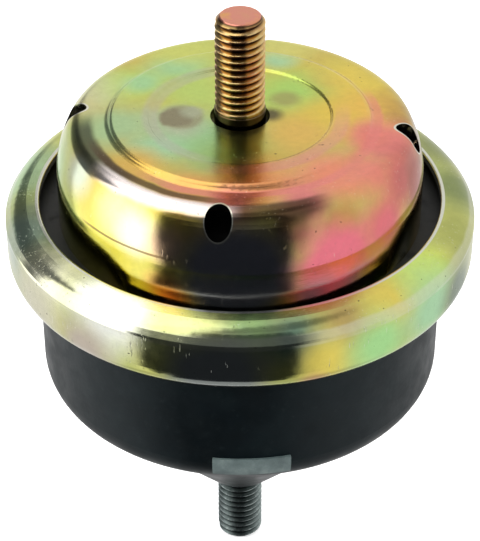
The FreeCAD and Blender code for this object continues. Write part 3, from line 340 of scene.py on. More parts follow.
bellLook = {
    "filmSize": 26.0,
    "filmColours": [(0.3, "#c9c060"), (0.45, "#d8c860"), (0.55, "#d6b85c"), (0.7, "#c4cc70")],
    "spots": [
        # the dished top, from the back round to the front
        {"at": (-8, 12, 91), "size": 20, "colour": "#c6da74"},
        {"at": (6, 16, 91), "size": 16, "colour": "#d8cc62"},
        {"at": (10, 9, 91), "size": 12, "colour": "#b8dc70"},
        {"at": (18, -2, 91), "size": 13, "colour": "#ecce58"},
        {"at": (12, -7, 91), "size": 10, "colour": "#e8c064"},
        {"at": (-9, -9, 91), "size": 16, "colour": "#a6d094"},
        {"at": (-13, -3, 91), "size": 9, "colour": "#bcc4a2"},
        {"at": (-16, -12, 91), "size": 8, "colour": "#b0d8a8"},
        {"at": (-3, -15, 91), "size": 10, "colour": "#a2c478"},
        {"at": (-24, -4, 91), "size": 13, "colour": "#b4cf98"},
        {"at": (-24, 12, 91), "size": 12, "colour": "#c8e07a"},
        {"at": (-13, 20, 91), "size": 9, "colour": "#a4daa4"},
        {"at": (-20, 12, 91), "size": 6, "colour": "#b0dc9c"},
        {"at": (8, 22, 91), "size": 6, "colour": "#a4dcb0"},
        {"at": (-12, 28, 91), "size": 14, "colour": "#d8dc74"},
        {"at": (10, 30, 91), "size": 13, "colour": "#e0d878"},
        {"at": (24, 16, 91), "size": 13, "colour": "#f0d45e"},
        {"at": (27, 2, 91), "size": 12, "colour": "#f4c65c"},
        # front of the shelf and the shoulder
        {"at": (-20, -19, 91), "size": 9, "colour": "#e6bc60"},
        {"at": (-10, -27, 91), "size": 8, "colour": "#e8ac64"},
        {"at": (4, -25, 91), "size": 12, "colour": "#f0a46c"},
        {"at": (18, -21, 91), "size": 12, "colour": "#f59c7c"},
        {"at": (29, -9, 90), "size": 12, "colour": "#f28c86"},
        {"at": (26, -7, 91), "size": 7, "colour": "#f08c7c"},
        {"at": (24, -19, 90), "size": 7, "colour": "#f09480"},
        {"at": (31, -16, 87), "size": 9, "colour": "#e8807c"},
        {"at": (-2, -30, 90), "size": 7, "colour": "#ec8c84"},
        {"at": (12, -29, 90), "size": 8, "colour": "#e88a84"},
        {"at": (10, -33, 87), "size": 7, "colour": "#8a6c48", "ragged": 0.9},
        {"at": (18, -31, 86), "size": 6, "colour": "#b08c50", "ragged": 0.7},
        {"at": (20, -30, 86), "size": 6, "colour": "#c8a050"},
        # wall, from the left round the front to the right
        {"at": (-33, 10, 86), "size": 14, "colour": "#dcdcb0"},
        {"at": (-36, -6, 82), "size": 12, "colour": "#c6e0a4"},
        {"at": (-33, -15, 79), "size": 11, "colour": "#bcc45c"},
        {"at": (-27, -24, 76), "size": 11, "colour": "#d4cc5c"},
        # painted highlights: the next two near-white patches
        {"at": (-24, -28, 87), "size": 9, "colour": "#fdf8a8"},
        {"at": (-20, -31, 84), "size": 7, "colour": "#fffad0"},
        {"at": (-31, -16, 88), "size": 7, "colour": "#c4ccb4"},
        # painted highlight
        {"at": (-14, -33, 83), "size": 6, "colour": "#f6d0a8"},
        {"at": (-14, -34, 73), "size": 7, "colour": "#d89a58"},
        # a grey patch painted where the dark front of the studio is mirrored, so that this reflection reads
        # neutral grey
        {"at": (-1, -36, 78), "size": 14, "colour": "#8f9098", "soft": 0.5},
        {"at": (18, -31, 78), "size": 13, "colour": "#f4808e", "soft": 0.6},
        {"at": (28, -24, 81), "size": 10, "colour": "#ea7c82"},
        {"at": (34, -12, 84), "size": 12, "colour": "#b46c60", "ragged": 0.8},
        {"at": (36, 4, 82), "size": 15, "colour": "#94704e", "ragged": 0.8},
        {"at": (33, -18, 73), "size": 7, "colour": "#a0a070"},
        {"at": (23, -28, 71), "size": 7, "colour": "#b89c9c"},
        {"at": (14, -33, 71), "size": 7, "colour": "#b08c94"},
        {"at": (30, 22, 84), "size": 14, "colour": "#d8c868"},
        {"at": (4, 37, 82), "size": 15, "colour": "#c8d480"},
        {"at": (-24, 29, 82), "size": 14, "colour": "#dccb70"},
        # weld marks of the core, burnt through the film; then a painted shadow beside the stud's foot and a
        # painted reflection of the stud on the top in front of it
        {"at": (-11.5, -0.6, 91), "size": 5.2, "colour": "#a09c78",
         "soft": 0.35, "ragged": 0.3, "share": 0.85},
        {"at": (-12.4, -0.8, 91), "size": 3.6, "colour": "#948c6e", "soft": 0.4, "ragged": 1.4},
        {"at": (-9.4, 1.4, 91), "size": 3.2, "colour": "#b4b898", "soft": 0.6, "ragged": 1.2, "share": 0.8},
        {"at": (9, 6.4, 91), "size": 4.4, "colour": "#a89a60", "soft": 0.7, "ragged": 0.4, "share": 0.7},
        # painted shadow to the right of the stud's foot
        {"at": (6.0, 0.4, 91), "size": 3.6, "colour": "#4c4034", "soft": 0.8, "ragged": 0.4, "share": 0.85},
        # painted reflection of the stud, darkening the top in front of it
        {"at": (0, -8, 91), "size": 7.5, "colour": "#6e684a",
         "soft": 0.9, "squeeze": (1.5, 0.8, 1), "share": 0.55},
        {"at": (0.3, -14, 91), "size": 5.5, "colour": "#6a7050",
         "soft": 0.9, "squeeze": (1.2, 0.9, 1), "share": 0.4},
        {"at": (0.6, -20, 91), "size": 5, "colour": "#a09060",
         "soft": 0.9, "squeeze": (1.2, 1, 1), "share": 0.5},
    ],
    "filmBandsAndPaintedLight": [
        {"radius": 18.4, "width": 2.2, "above": 90.9, "colour": "#c4b4b0",
         "share": 0.35, "turn": 170, "span": 200},
        {"radius": 20.8, "width": 2.2, "above": 90.9, "colour": "#e8949c",
         "share": 0.4, "turn": -50, "span": 130},
        {"radius": 28.2, "width": 1.4, "above": 90.0, "colour": "#ee8c88",
         "share": 0.6, "turn": -85, "span": 110},
        {"radius": 27.6, "width": 1.6, "above": 90.0, "colour": "#f08c84",
         "share": 0.6, "turn": -10, "span": 70},
        # painted reflections: dark bands on the left and front of the shoulder, and a thin dark line on the
        # wall
        {"radius": 31.6, "width": 2.8, "above": 87.5, "colour": "#4c503c",
         "share": 0.9, "turn": -156, "span": 58},
        {"radius": 30.4, "width": 1.3, "above": 90.0, "colour": "#5a4632",
         "share": 0.85, "turn": -128, "span": 78},
        {"radius": 33.2, "width": 2.4, "above": 87.5, "colour": "#4c3a2c",
         "share": 0.85, "turn": -79, "span": 44},
        {"height": 80.8, "width": 0.35, "above": 79.0, "colour": "#6a4c2c",
         "share": 0.75, "turn": -128, "span": 40},
        # painted highlight: a white band along the front-left shoulder
        {"radius": 32.9, "width": 2.0, "above": 88.6, "colour": "#fff2ee",
         "share": 0.95, "turn": -120, "span": 64},
    ],
    "flare": {"below": 78.5, "curve": 0.03, "turn": -82, "span": 112, "fade": 14},
    "holes": {"count": 4, "turn": -96.8, "along": 38.75, "length": 7.2, "width": 5.1,
              "rim": ((1.11, 1.06), (0.9, 0.95)), "rimEdgeAndHighlightColour": "#e6e2d0"},
    "rubStretch": (1.0, 1.0, 0.35), "rubShare": 0.35, "rubColour": "#4f4632",
    "scuff": {"stretch": (1.0, 1.0, 0.2), "size": 0.45, "colour": "#f2ead0", "share": 0.25, "depth": 0.006},
    "flatAbove": 90.5, "flatRougher": 0.11,
    "roughLow": 0.1, "roughHigh": 0.16, "waveSize": 14.0, "waveDepth": 0.3,
}
ringLook = {
    "filmSize": 22.0,
    "filmColours": [(0.3, "#b4c070"), (0.45, "#d4d478"), (0.55, "#c2c868"), (0.7, "#c8c888")],
    "spots": [
        {"at": (-45, 8, 70), "size": 18, "colour": "#b4d0a0"},
        {"at": (-43, -14, 72), "size": 14, "colour": "#a0b49c"},
        # painted highlight
        {"at": (-38, -28, 72), "size": 12, "colour": "#ecebc8"},
        {"at": (-40, -26, 63), "size": 14, "colour": "#d8d4b8"},
        # painted highlight
        {"at": (-24, -38, 72), "size": 14, "colour": "#f6f8f0"},
        {"at": (-30, -37, 62), "size": 10, "colour": "#c4b8a8"},
        {"at": (-10, -43, 72), "size": 11, "colour": "#e8ee9c"},
        {"at": (2, -44, 73), "size": 8, "colour": "#a4c480"},
        {"at": (10, -46, 71), "size": 9, "colour": "#7c9880"},
        {"at": (20, -41, 73), "size": 9, "colour": "#c0a868"},
        {"at": (28, -36, 73), "size": 10, "colour": "#e8d468"},
        {"at": (36, -27, 73), "size": 11, "colour": "#d8ec70"},
        {"at": (16, -45, 65), "size": 9, "colour": "#ecd868"},
        # a grey patch painted where the dark front of the studio is mirrored, so that this reflection reads
        # neutral grey
        {"at": (-4, -47, 63), "size": 13, "colour": "#9aa09c", "soft": 0.6},
        {"at": (14, -46, 59), "size": 5, "colour": "#d09878"},
        {"at": (26, -40, 65), "size": 10, "colour": "#b0e498"},
        {"at": (37, -30, 66), "size": 12, "colour": "#b0dcac"},
        {"at": (43, -20, 64), "size": 11, "colour": "#74846c"},
        {"at": (43, -13, 73), "size": 10, "colour": "#b4b868"},
        {"at": (45, 2, 73), "size": 12, "colour": "#8c9860"},
        {"at": (42, 18, 72), "size": 13, "colour": "#98a068"},
        {"at": (10, 46, 68), "size": 18, "colour": "#c4d084"},
        {"at": (-24, 40, 68), "size": 16, "colour": "#d8cc84"},
    ],
    # painted highlight: a pale band along the crease
    "filmBandsAndPaintedLight": [{"radius": 47.4, "width": 0.9, "above": 69.5, "colour": "#e4e4d0", "share": 0.35}],
    "rubStretch": (1.0, 1.0, 0.3), "rubShare": 0.5, "rubColour": "#46503e",
    "cutEdgeAndHighlight": {"radius": 41.3, "outside": 0.12, "inside": 0.05, "above": 71.5, "fade": 0.1,
                "colour": "#dcdccb"},
    "scuff": {"stretch": (1.0, 1.0, 0.14), "size": 0.4, "colour": "#f4f4e4", "share": 0.45, "depth": 0.02},
    "flatAbove": 73.0, "flatRougher": 0.06,
    "roughLow": 0.1, "roughHigh": 0.17, "waveSize": 12.0, "waveDepth": 0.2,
}
bellMaterial = passivatedSheet("yellowPassivatedZincBell", bellLook)
ringMaterial = passivatedSheet("yellowPassivatedZincRing", ringLook)


threadMarks = {
    "crestWearAndGlint": {"size": 0.8, "detail": 3.0, "grit": 0.7, "from": 0.45, "full": 0.65}, "crestWearAndGlintShare": 0.6,
    "crestGlintReach": 0.12,
    "satin": {"size": 0.9, "detail": 4.0, "grit": 0.7, "from": 0.3, "full": 0.7},
    "grainSize": 0.35, "grainDepth": 0.02,
}


def threadMetal(name, look):
    # Plated thread: a painted highlight on the crests, broken up by wear, and painted shade in the roots.
    material, tree = startMaterial(name)
    place = inMillimetres(tree)
    radius, height = axisDistance(tree, place)
    marks = threadMarks
    tint = addNode(tree, "TexNoise", {
        "Vector": place, "Scale": 1 / look["tintSize"], "Detail": 3.0, "Roughness": 0.6})
    colour = addNode(tree, "ValToRGB", {"Fac": tint}, stops=look["colours"])
    # painted shade: darker towards the roots of the thread
    depth = addNode(tree, "MapRange", {
        "Value": radius, "From Min": look["rootRadius"], "From Max": look["crestRadius"]},
        interpolation_type="SMOOTHSTEP")
    colour = addNode(tree, "Mix", {0: depth, 6: toLinear(look["paintedRootShade"]), 7: colour}, out=2,
                     data_type="RGBA")
    # painted highlight on the crests, broken up by a wear pattern
    crest = addNode(tree, "MapRange", {
        "Value": radius, "From Min": look["crestRadius"] - marks["crestGlintReach"],
        "From Max": look["crestRadius"]}, interpolation_type="SMOOTHSTEP")
    wornCrestHighlight = addNode(tree, "Math", {0: crest, 1: patches(tree, place, marks["crestWearAndGlint"])}, operation="MULTIPLY")
    colour = layOver(tree, colour, wornCrestHighlight, marks["crestWearAndGlintShare"], look["crestHighlightColour"])
    # colours over given height spans: painted shade on the neck, darker down into the hole in the top, and
    # film colour on the tip's flat
    for face in look["faces"]:
        onFace = addNode(tree, "MapRange", {
            "Value": height, "From Min": face["from"], "From Max": face["to"]},
            interpolation_type="SMOOTHSTEP")
        faceColour = addNode(tree, "ValToRGB", {"Fac": tint}, stops=face["colours"])
        colour = addNode(tree, "Mix", {0: onFace, 6: colour, 7: faceColour}, out=2, data_type="RGBA")
    roughness = patches(tree, place, marks["satin"], look["roughLow"], look["roughHigh"])
    grain = addNode(tree, "TexNoise", {
        "Vector": place, "Scale": 1 / marks["grainSize"], "Detail": 3.0, "Roughness": 0.6})
    finishMaterial(tree, grain, 0.6, marks["grainDepth"], {
        "Base Color": colour, "Metallic": 1.0, "Roughness": roughness})
    return material


rubberLook = {
    "colour": "#08090a", "bloomColour": "#17181a", "bloomShare": 0.5,
    "bloom": {"size": 6.0, "detail": 4.0, "grit": 0.6, "from": 0.45, "full": 0.75},
    "roughLow": 0.55, "roughHigh": 0.75, "grainSize": 0.25, "lumpSize": 4.0, "lumps": 3.0, "depth": 0.03,
}


def blackRubber(look):
    # Moulded natural rubber: dull black with a bloom of grey dust and mould grain
    material, tree = startMaterial("mouldedNaturalRubber")
    place = inMillimetres(tree)
    bloom = patches(tree, place, look["bloom"])
    colour = layOver(tree, toLinear(look["colour"]), bloom, look["bloomShare"], look["bloomColour"])
    roughness = addNode(tree, "MapRange", {
        "Value": bloom, "To Min": look["roughLow"], "To Max": look["roughHigh"]},
        interpolation_type="SMOOTHSTEP")
    grain = addNode(tree, "TexNoise", {
        "Vector": place, "Scale": 1 / look["grainSize"], "Detail": 3.0, "Roughness": 0.6})
    lumps = addNode(tree, "TexNoise", {
        "Vector": place, "Scale": 1 / look["lumpSize"], "Detail": 2.0, "Roughness": 0.5})
    relief = addNode(tree, "Math", {0: lumps, 1: look["lumps"], 2: grain}, operation="MULTIPLY_ADD")
    finishMaterial(tree, relief, 0.7, look["depth"], {"Base Color": colour, "Roughness": roughness})
    return material


paintLook = {
    "cloudSize": 14.0, "colours": [(0.3, "#04080a"), (0.5, "#070d10"), (0.7, "#0b1315")],
    "dust": {"size": 1.6, "detail": 5.0, "grit": 0.7, "from": 0.55, "full": 0.75},
    "dustShare": 0.25, "dustColour": "#242c2d",
    "satin": {"size": 5.0, "detail": 4.0, "grit": 0.6, "from": 0.3, "full": 0.7},
    "roughLow": 0.34, "roughHigh": 0.46, "gloss": 0.18, "glossTint": (0.75, 0.95, 1.0, 1.0),
    "peelSize": 1.1, "peelDepth": 0.03,
}


def satinPaint(look):
    # Black cathodic dip paint on drawn steel: satin blue-black, faint orange peel and dust
    material, tree = startMaterial("blackDipPaintOnSteel")
    place = inMillimetres(tree)
    cloud = addNode(tree, "TexNoise", {
        "Vector": place, "Scale": 1 / look["cloudSize"], "Detail": 4.0, "Roughness": 0.6})
    colour = addNode(tree, "ValToRGB", {"Fac": cloud}, stops=look["colours"])
    dust = patches(tree, place, look["dust"])
    colour = layOver(tree, colour, dust, look["dustShare"], look["dustColour"])
    roughness = patches(tree, place, look["satin"], look["roughLow"], look["roughHigh"])
    peel = addNode(tree, "TexNoise", {
        "Vector": place, "Scale": 1 / look["peelSize"], "Detail": 2.0, "Roughness": 0.5})
    finishMaterial(tree, peel, 0.5, look["peelDepth"], {
        "Base Color": colour, "Roughness": roughness, "Specular IOR Level": look["gloss"],
        "Specular Tint": look["glossTint"]})
    return material


labelLook = {
    "toneSize": 3.0, "colours": [(0.3, "#424e4e"), (0.5, "#4f5c5b"), (0.7, "#606c6a")],
    "scuff": {"size": 0.5, "detail": 4.0, "grit": 0.7, "from": 0.6, "full": 0.7},
    "scuffShare": 0.4, "scuffColour": "#3f4a4c", "roughness": 0.5, "depth": 0.05,
}


def labelFilm(look):
    # Grey polyester film, matt, rubbed thin in places
    material, tree = startMaterial("greyPolyesterFilm")
    place = inMillimetres(tree)
    tone = addNode(tree, "TexNoise", {
        "Vector": place, "Scale": 1 / look["toneSize"], "Detail": 4.0, "Roughness": 0.65})
    colour = addNode(tree, "ValToRGB", {"Fac": tone}, stops=look["colours"])
    scuff = patches(tree, place, look["scuff"])
    colour = layOver(tree, colour, scuff, look["scuffShare"], look["scuffColour"])
    finishMaterial(tree, tone, 0.5, look["depth"], {"Base Color": colour, "Roughness": look["roughness"]})
    return material


def plainMetal(name, look):
    # Uncoated inner metal: one tone broken by forging scale, rolling lines or casting skin
    material, tree = startMaterial(name)
    place = inMillimetres(tree)
    tone = addNode(tree, "TexNoise", {
        "Vector": place, "Scale": 1 / look["grain"], "Detail": 4.0, "Roughness": 0.65})
    dark, light = 0.3, 0.7       # levels of the noise that count as its lows and highs
    colour = addNode(tree, "ValToRGB", {"Fac": tone}, stops=[(dark, look["dark"]), (light, look["light"])])
    roughness = addNode(tree, "MapRange", {
        "Value": tone, "From Min": dark, "From Max": light, "To Min": look["roughHigh"],
        "To Max": look["roughLow"]}, interpolation_type="SMOOTHSTEP")
    finishMaterial(tree, tone, 0.6, look["relief"], {
        "Base Color": colour, "Metallic": 1.0, "Roughness": roughness})
    return material


rubberMaterial = blackRubber(rubberLook)
paintMaterial = satinPaint(paintLook)
labelMaterial = labelFilm(labelLook)
forgedMaterial = plainMetal("forgedSteelWithScale", {
    "grain": 2.5, "dark": "#4b4640", "light": "#77716a", "roughLow": 0.4, "roughHigh": 0.65, "relief": 0.12})
sheetMaterial = plainMetal("coldRolledSteelSheet", {
    "grain": 1.5, "dark": "#8d8f90", "light": "#b3b5b4", "roughLow": 0.28, "roughHigh": 0.42, "relief": 0.02})
castMaterial = plainMetal("dieCastAluminium", {
    "grain": 1.0, "dark": "#9a9b9a", "light": "#c4c5c3", "roughLow": 0.38, "roughHigh": 0.55, "relief": 0.05})
print("finishes made")

nodeFinishes = {
    "bell_cap": bellMaterial, "crimp_ring": ringMaterial, "rebound_buffer": rubberMaterial,
    "main_spring": rubberMaterial, "diaphragm": rubberMaterial, "decoupler": rubberMaterial,
    "lower_cup": paintMaterial, "id_label": labelMaterial, "inner_core": forgedMaterial,
    "outer_armature": sheetMaterial, "upper_grid": sheetMaterial, "lower_grid": sheetMaterial,
    "track_rivets": sheetMaterial, "diaphragm_ring": sheetMaterial, "track_body": castMaterial,
}
for nodeName, finish in nodeFinishes.items():
    shown = bpy.data.objects[nodeName].data
    shown.materials.clear()
    shown.materials.append(finish)
print("nodes dressed")


rolledThread = {
    "Major Radius": 4.92 * mm, "Depth": 0.86 * mm, "Pitch": 1.5 * mm, "Run Out": 1.2 * mm,
    "Bevel": 1.0 * mm, "Rows Per Turn": 14, "Columns": 80,
}
spareTurns = 4                  # two at each end close the sheet


def threadTree():
    # A sheet of rows that climb one pitch a turn: each row keeps its place in the thread form,
    # so crests and roots run true, and the ends are trimmed flat and bevelled.
    tree = bpy.data.node_groups.new("rolledThread", "GeometryNodeTree")
    face = tree.interface
    face.new_socket("Geometry", in_out="OUTPUT", socket_type="NodeSocketGeometry")
    for name in ("Major Radius", "Depth", "Pitch", "Start", "End", "Run Out", "Bevel"):
        face.new_socket(name, in_out="INPUT", socket_type="NodeSocketFloat")
    for name in ("Rows Per Turn", "Columns", "Turns"):
        face.new_socket(name, in_out="INPUT", socket_type="NodeSocketInt")
    face.new_socket("Material", in_out="INPUT", socket_type="NodeSocketMaterial")
    given = addNode(tree, "NodeGroupInput").node.outputs

    rows = addNode(tree, "Math", {0: given["Rows Per Turn"], 1: given["Turns"]}, operation="MULTIPLY")
    rows = addNode(tree, "Math", {0: rows, 1: 1.0}, operation="ADD")
    columns = addNode(tree, "Math", {0: given["Columns"], 1: 1.0}, operation="ADD")
    length = addNode(tree, "Math", {0: given["Pitch"], 1: given["Turns"]}, operation="MULTIPLY")
    grid = addNode(tree, "GeometryNodeMeshGrid", {
        "Size X": 2 * math.pi, "Size Y": length, "Vertices X": columns, "Vertices Y": rows})
    flat = addNode(tree, "GeometryNodeInputPosition")
    flat = addNode(tree, "SeparateXYZ", {"Vector": flat}).node.outputs
    turn = addNode(tree, "Math", {0: flat["X"], 1: math.pi}, operation="ADD")
    half = addNode(tree, "Math", {0: length, 1: 0.5}, operation="MULTIPLY")
    rise = addNode(tree, "Math", {0: flat["Y"], 1: half}, operation="ADD")
    climb = addNode(tree, "Math", {0: turn, 1: 2 * math.pi}, operation="DIVIDE")
    climb = addNode(tree, "Math", {0: climb, 1: given["Pitch"]}, operation="MULTIPLY")
    firstRow = addNode(tree, "Math", {0: given["Pitch"], 1: -spareTurns / 2, 2: given["Start"]},
                       operation="MULTIPLY_ADD")
    loose = addNode(tree, "Math", {0: rise, 1: climb}, operation="ADD")
    loose = addNode(tree, "Math", {0: loose, 1: firstRow}, operation="ADD")
    height = addNode(tree, "Math", {0: loose, 1: given["Start"]}, operation="MAXIMUM")
    height = addNode(tree, "Math", {0: height, 1: given["End"]}, operation="MINIMUM")

    # thread form: flat crest, 60 degree flanks, flat root; of half a pitch, the crest ends and
    # the root starts at these shares
    crestEnds, rootStarts = 0.14, 0.86
    phase = addNode(tree, "Math", {0: rise, 1: given["Pitch"]}, operation="DIVIDE")
    phase = addNode(tree, "Math", {0: phase}, operation="FRACT")
    fall = addNode(tree, "Math", {0: phase, 1: 2.0, 2: -1.0}, operation="MULTIPLY_ADD")
    fall = addNode(tree, "Math", {0: fall}, operation="ABSOLUTE")
    form = addNode(tree, "MapRange", {"Value": fall, "From Min": crestEnds, "From Max": rootStarts})
    fadeEnd = addNode(tree, "Math", {0: given["Start"], 1: given["Run Out"]}, operation="ADD")
    fade = addNode(tree, "MapRange", {
        "Value": height, "From Min": given["Start"], "From Max": fadeEnd}, interpolation_type="SMOOTHSTEP")
    cut = addNode(tree, "Math", {0: form, 1: given["Depth"]}, operation="MULTIPLY")
    cut = addNode(tree, "Math", {0: cut, 1: fade}, operation="MULTIPLY")
    radius = addNode(tree, "Math", {0: given["Major Radius"], 1: cut}, operation="SUBTRACT")
    tip = addNode(tree, "Math", {0: given["Major Radius"], 1: given["Bevel"]}, operation="SUBTRACT")
    toEnd = addNode(tree, "Math", {0: given["End"], 1: height}, operation="SUBTRACT")
    bevelled = addNode(tree, "Math", {0: tip, 1: toEnd}, operation="ADD")
    radius = addNode(tree, "Math", {0: radius, 1: bevelled}, operation="MINIMUM")

    # beyond the ends the rows close in to the axis
    above = addNode(tree, "Math", {0: loose, 1: given["End"]}, operation="SUBTRACT")
    above = addNode(tree, "Math", {0: above, 1: 0.0}, operation="MAXIMUM")
    below = addNode(tree, "Math", {0: given["Start"], 1: loose}, operation="SUBTRACT")
    below = addNode(tree, "Math", {0: below, 1: 0.0}, operation="MAXIMUM")
    closing = addNode(tree, "Math", {0: above, 1: below}, operation="ADD")
    closing = addNode(tree, "Math", {0: closing, 1: given["Major Radius"]}, operation="MULTIPLY")
    closing = addNode(tree, "Math", {0: closing, 1: given["Pitch"]}, operation="DIVIDE")
    radius = addNode(tree, "Math", {0: radius, 1: closing}, operation="SUBTRACT")
    radius = addNode(tree, "Math", {0: radius, 1: 0.0}, operation="MAXIMUM")
    acrossX = addNode(tree, "Math", {0: turn}, operation="COSINE")
    acrossX = addNode(tree, "Math", {0: radius, 1: acrossX}, operation="MULTIPLY")
    acrossY = addNode(tree, "Math", {0: turn}, operation="SINE")
    acrossY = addNode(tree, "Math", {0: radius, 1: acrossY}, operation="MULTIPLY")
    place = addNode(tree, "CombineXYZ", {"X": acrossX, "Y": acrossY, "Z": height})
    wound = addNode(tree, "GeometryNodeSetPosition", {"Geometry": grid, "Position": place})
    merged = addNode(tree, "GeometryNodeMergeByDistance", {"Geometry": wound, "Distance": 0.002 * mm})
    real = addNode(tree, "GeometryNodeRealizeInstances", {"Geometry": merged})
    coated = addNode(tree, "GeometryNodeSetMaterial", {"Geometry": real, "Material": given["Material"]})
    addNode(tree, "NodeGroupOutput", {"Geometry": coated})
    return tree


def growMesh(tree, values):
    # evaluate a node tree once and keep the result as a plain mesh
    carrier = bpy.data.objects.new("carrier", bpy.data.meshes.new("carrier"))
    bpy.context.scene.collection.objects.link(carrier)
    grower = carrier.modifiers.new("grow", "NODES")
    grower.node_group = tree
    for item in tree.interface.items_tree:
        if item.item_type == "SOCKET" and item.in_out == "INPUT":
            grower[item.identifier] = values[item.name]
    graph = bpy.context.evaluated_depsgraph_get()
    grown = bpy.data.meshes.new_from_object(carrier.evaluated_get(graph))
    carrier.modifiers.remove(grower)
    bpy.data.objects.remove(carrier)
    return grown


upperStudLook = {
    "rootRadius": 4.05, "crestRadius": 4.75, "tintSize": 4.0,
    "colours": [(0.3, "#dcc280"), (0.5, "#dcb474"), (0.7, "#cfa078")],
    "paintedRootShade": "#4a3320", "crestHighlightColour": "#f0d6a0",
    # the neck: painted shade, darker down towards the hole in the top
    "faces": [{"from": 94.4, "to": 92.6, "colours": [(0.3, "#3c3024"), (0.7, "#4e3e2c")]},
              {"from": 113.05, "to": 113.25,
               "colours": [(0.3, "#e09a7c"), (0.5, "#e39480"), (0.7, "#e8a868")]}],
    "roughLow": 0.13, "roughHigh": 0.24,
}
lowerStudLook = {
    "rootRadius": 4.05, "crestRadius": 4.75, "tintSize": 3.0,
    "colours": [(0.3, "#6f7b79"), (0.5, "#8c9896"), (0.7, "#7d8886")],
    "paintedRootShade": "#15191a", "crestHighlightColour": "#c4d0cd",
    "faces": [], "roughLow": 0.28, "roughHigh": 0.42,
}
upperStudMaterial = threadMetal("yellowPassivatedZincThread", upperStudLook)
lowerStudMaterial = threadMetal("clearPassivatedZincThread", lowerStudLook)
neck = {"radius": 5.1 * mm, "length": 1.6 * mm, "edge": 0.12 * mm, "foot": 0.5 * mm, "steps": 80}
lowerHead = {"radius": 6.9 * mm, "bevel": 0.5 * mm, "sheet": 1.8 * mm}


def cutStud(tree, start, end, material, profile, pointsDown):
    # the thread between two heights, turned over where it points down, with its lathed neck
    turns = math.ceil((end - start) / rolledThread["Pitch"]) + spareTurns
    values = dict(rolledThread, Start=start, End=end, Turns=turns, Material=material)
    studMesh = growMesh(tree, values)
    shell = bmesh.new()
    shell.from_mesh(studMesh)
    if pointsDown:
        for vert in shell.verts:
            vert.co = Vector((vert.co.x, -vert.co.y, -vert.co.z))
    lathe(shell, profile, neck["steps"])
    bmesh.ops.recalc_face_normals(shell, faces=shell.faces[:])
    shell.to_mesh(studMesh)
    shell.free()
    return studMesh


def buildUpperStud(tree):
    low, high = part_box("upper_stud")
    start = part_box("bell_cap")[1][2] + neck["length"]
    radius, edge, foot = neck["radius"], neck["edge"], neck["foot"]
    profile = [(0, low[2]), (radius - foot, low[2]), (radius, low[2] + foot), (radius, start - edge),
               (radius - edge, start), (0, start)]
    studMesh = cutStud(tree, start, high[2], upperStudMaterial, profile, False)
    return keepPiece("upper_stud_threaded", studMesh, upperStudMaterial, "upper_stud")


def buildLowerStud(tree):
    low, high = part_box("lower_stud")
    start = neck["length"]
    radius, edge, head = neck["radius"], neck["edge"], lowerHead
    profile = [(0, -start), (radius - edge, -start), (radius, edge - start), (radius, head["sheet"]),
               (head["radius"], head["sheet"]), (head["radius"], high[2] - head["bevel"]),
               (head["radius"] - head["bevel"], high[2]), (0, high[2])]
    studMesh = cutStud(tree, start, -low[2], lowerStudMaterial, profile, True)
    return keepPiece("lower_stud_threaded", studMesh, lowerStudMaterial, "lower_stud")


thread = threadTree()
upperStud = buildUpperStud(thread)
lowerStud = buildLowerStud(thread)
print("threads cut:", len(upperStud.data.polygons), "and", len(lowerStud.data.polygons), "faces")


stage = {"radius": 2.0, "drop": 0.0002, "colour": "#f2f2f2", "glow": 0.45}


def buildFloor():
    mesh = bmesh.new()
    bmesh.ops.create_circle(mesh, cap_ends=True, segments=96, radius=stage["radius"])
    for vert in mesh.verts:
        vert.co.z = cadLow.z - stage["drop"]
    floorMesh = bpy.data.meshes.new("floor")
    mesh.to_mesh(floorMesh)
    mesh.free()
    floor = bpy.data.objects.new("floor", floorMesh)
    bpy.context.scene.collection.objects.link(floor)
    material, tree = startMaterial("matWhiteFloor")
    path = addNode(tree, "LightPath").node.outputs
    diffuse = addNode(tree, "BsdfDiffuse", {"Color": toLinear(stage["colour"])})
    strength = addNode(tree, "Math", {0: path["Is Camera Ray"], 1: stage["glow"]}, operation="MULTIPLY")
    glow = addNode(tree, "Emission", {"Color": (1, 1, 1, 1), "Strength": strength})
    both = addNode(tree, "AddShader", {0: diffuse, 1: glow})
    addNode(tree, "OutputMaterial", {"Surface": both})
    floorMesh.materials.append(material)
    floor.visible_glossy = False        # the metal mirrors the studio panels instead


# the studio round the part, as directions: azimuth 0 is the camera's side, 90 is +X
studioPanels = [
    {"azimuth": 180, "width": 60, "low": -90, "high": 90, "soft": 20, "level": 0.85},
    {"azimuth": 100, "width": 62, "low": -60, "high": 66, "soft": 14, "level": 0.85},
    {"azimuth": 60, "width": 80, "low": 68, "high": 120, "soft": 10, "level": 0.35},
    {"azimuth": -115, "width": 72, "low": -62, "high": -28, "soft": 8, "level": 0.9},
    {"azimuth": -168, "width": 20, "low": -35, "high": 10, "soft": 12, "level": 1.0},
    {"azimuth": -125, "width": 45, "low": 44, "high": 92, "soft": 8, "level": 1.7},
    {"azimuth": -82, "width": 36, "low": -33, "high": 84, "soft": 7, "level": 1.7},
    {"azimuth": -133, "width": 29, "low": 8, "high": 47, "soft": 8, "level": 0.15},
    {"azimuth": 2, "width": 32, "low": 14, "high": 64, "soft": 8, "level": 0.14},
    {"azimuth": -39, "width": 12, "low": 14, "high": 40, "soft": 8, "level": 0.2},
    {"azimuth": -42, "width": 14, "low": 46, "high": 84, "soft": 8, "level": 1.5},
    {"azimuth": -10, "width": 40, "low": -64, "high": 16, "soft": 7, "level": 0.035},
]
room = {"level": 0.6, "plain": 0.6, "shade": (0.9, 0.97, 1.1, 1.0), "shadeFrom": 0.02, "shadeTo": 0.4}


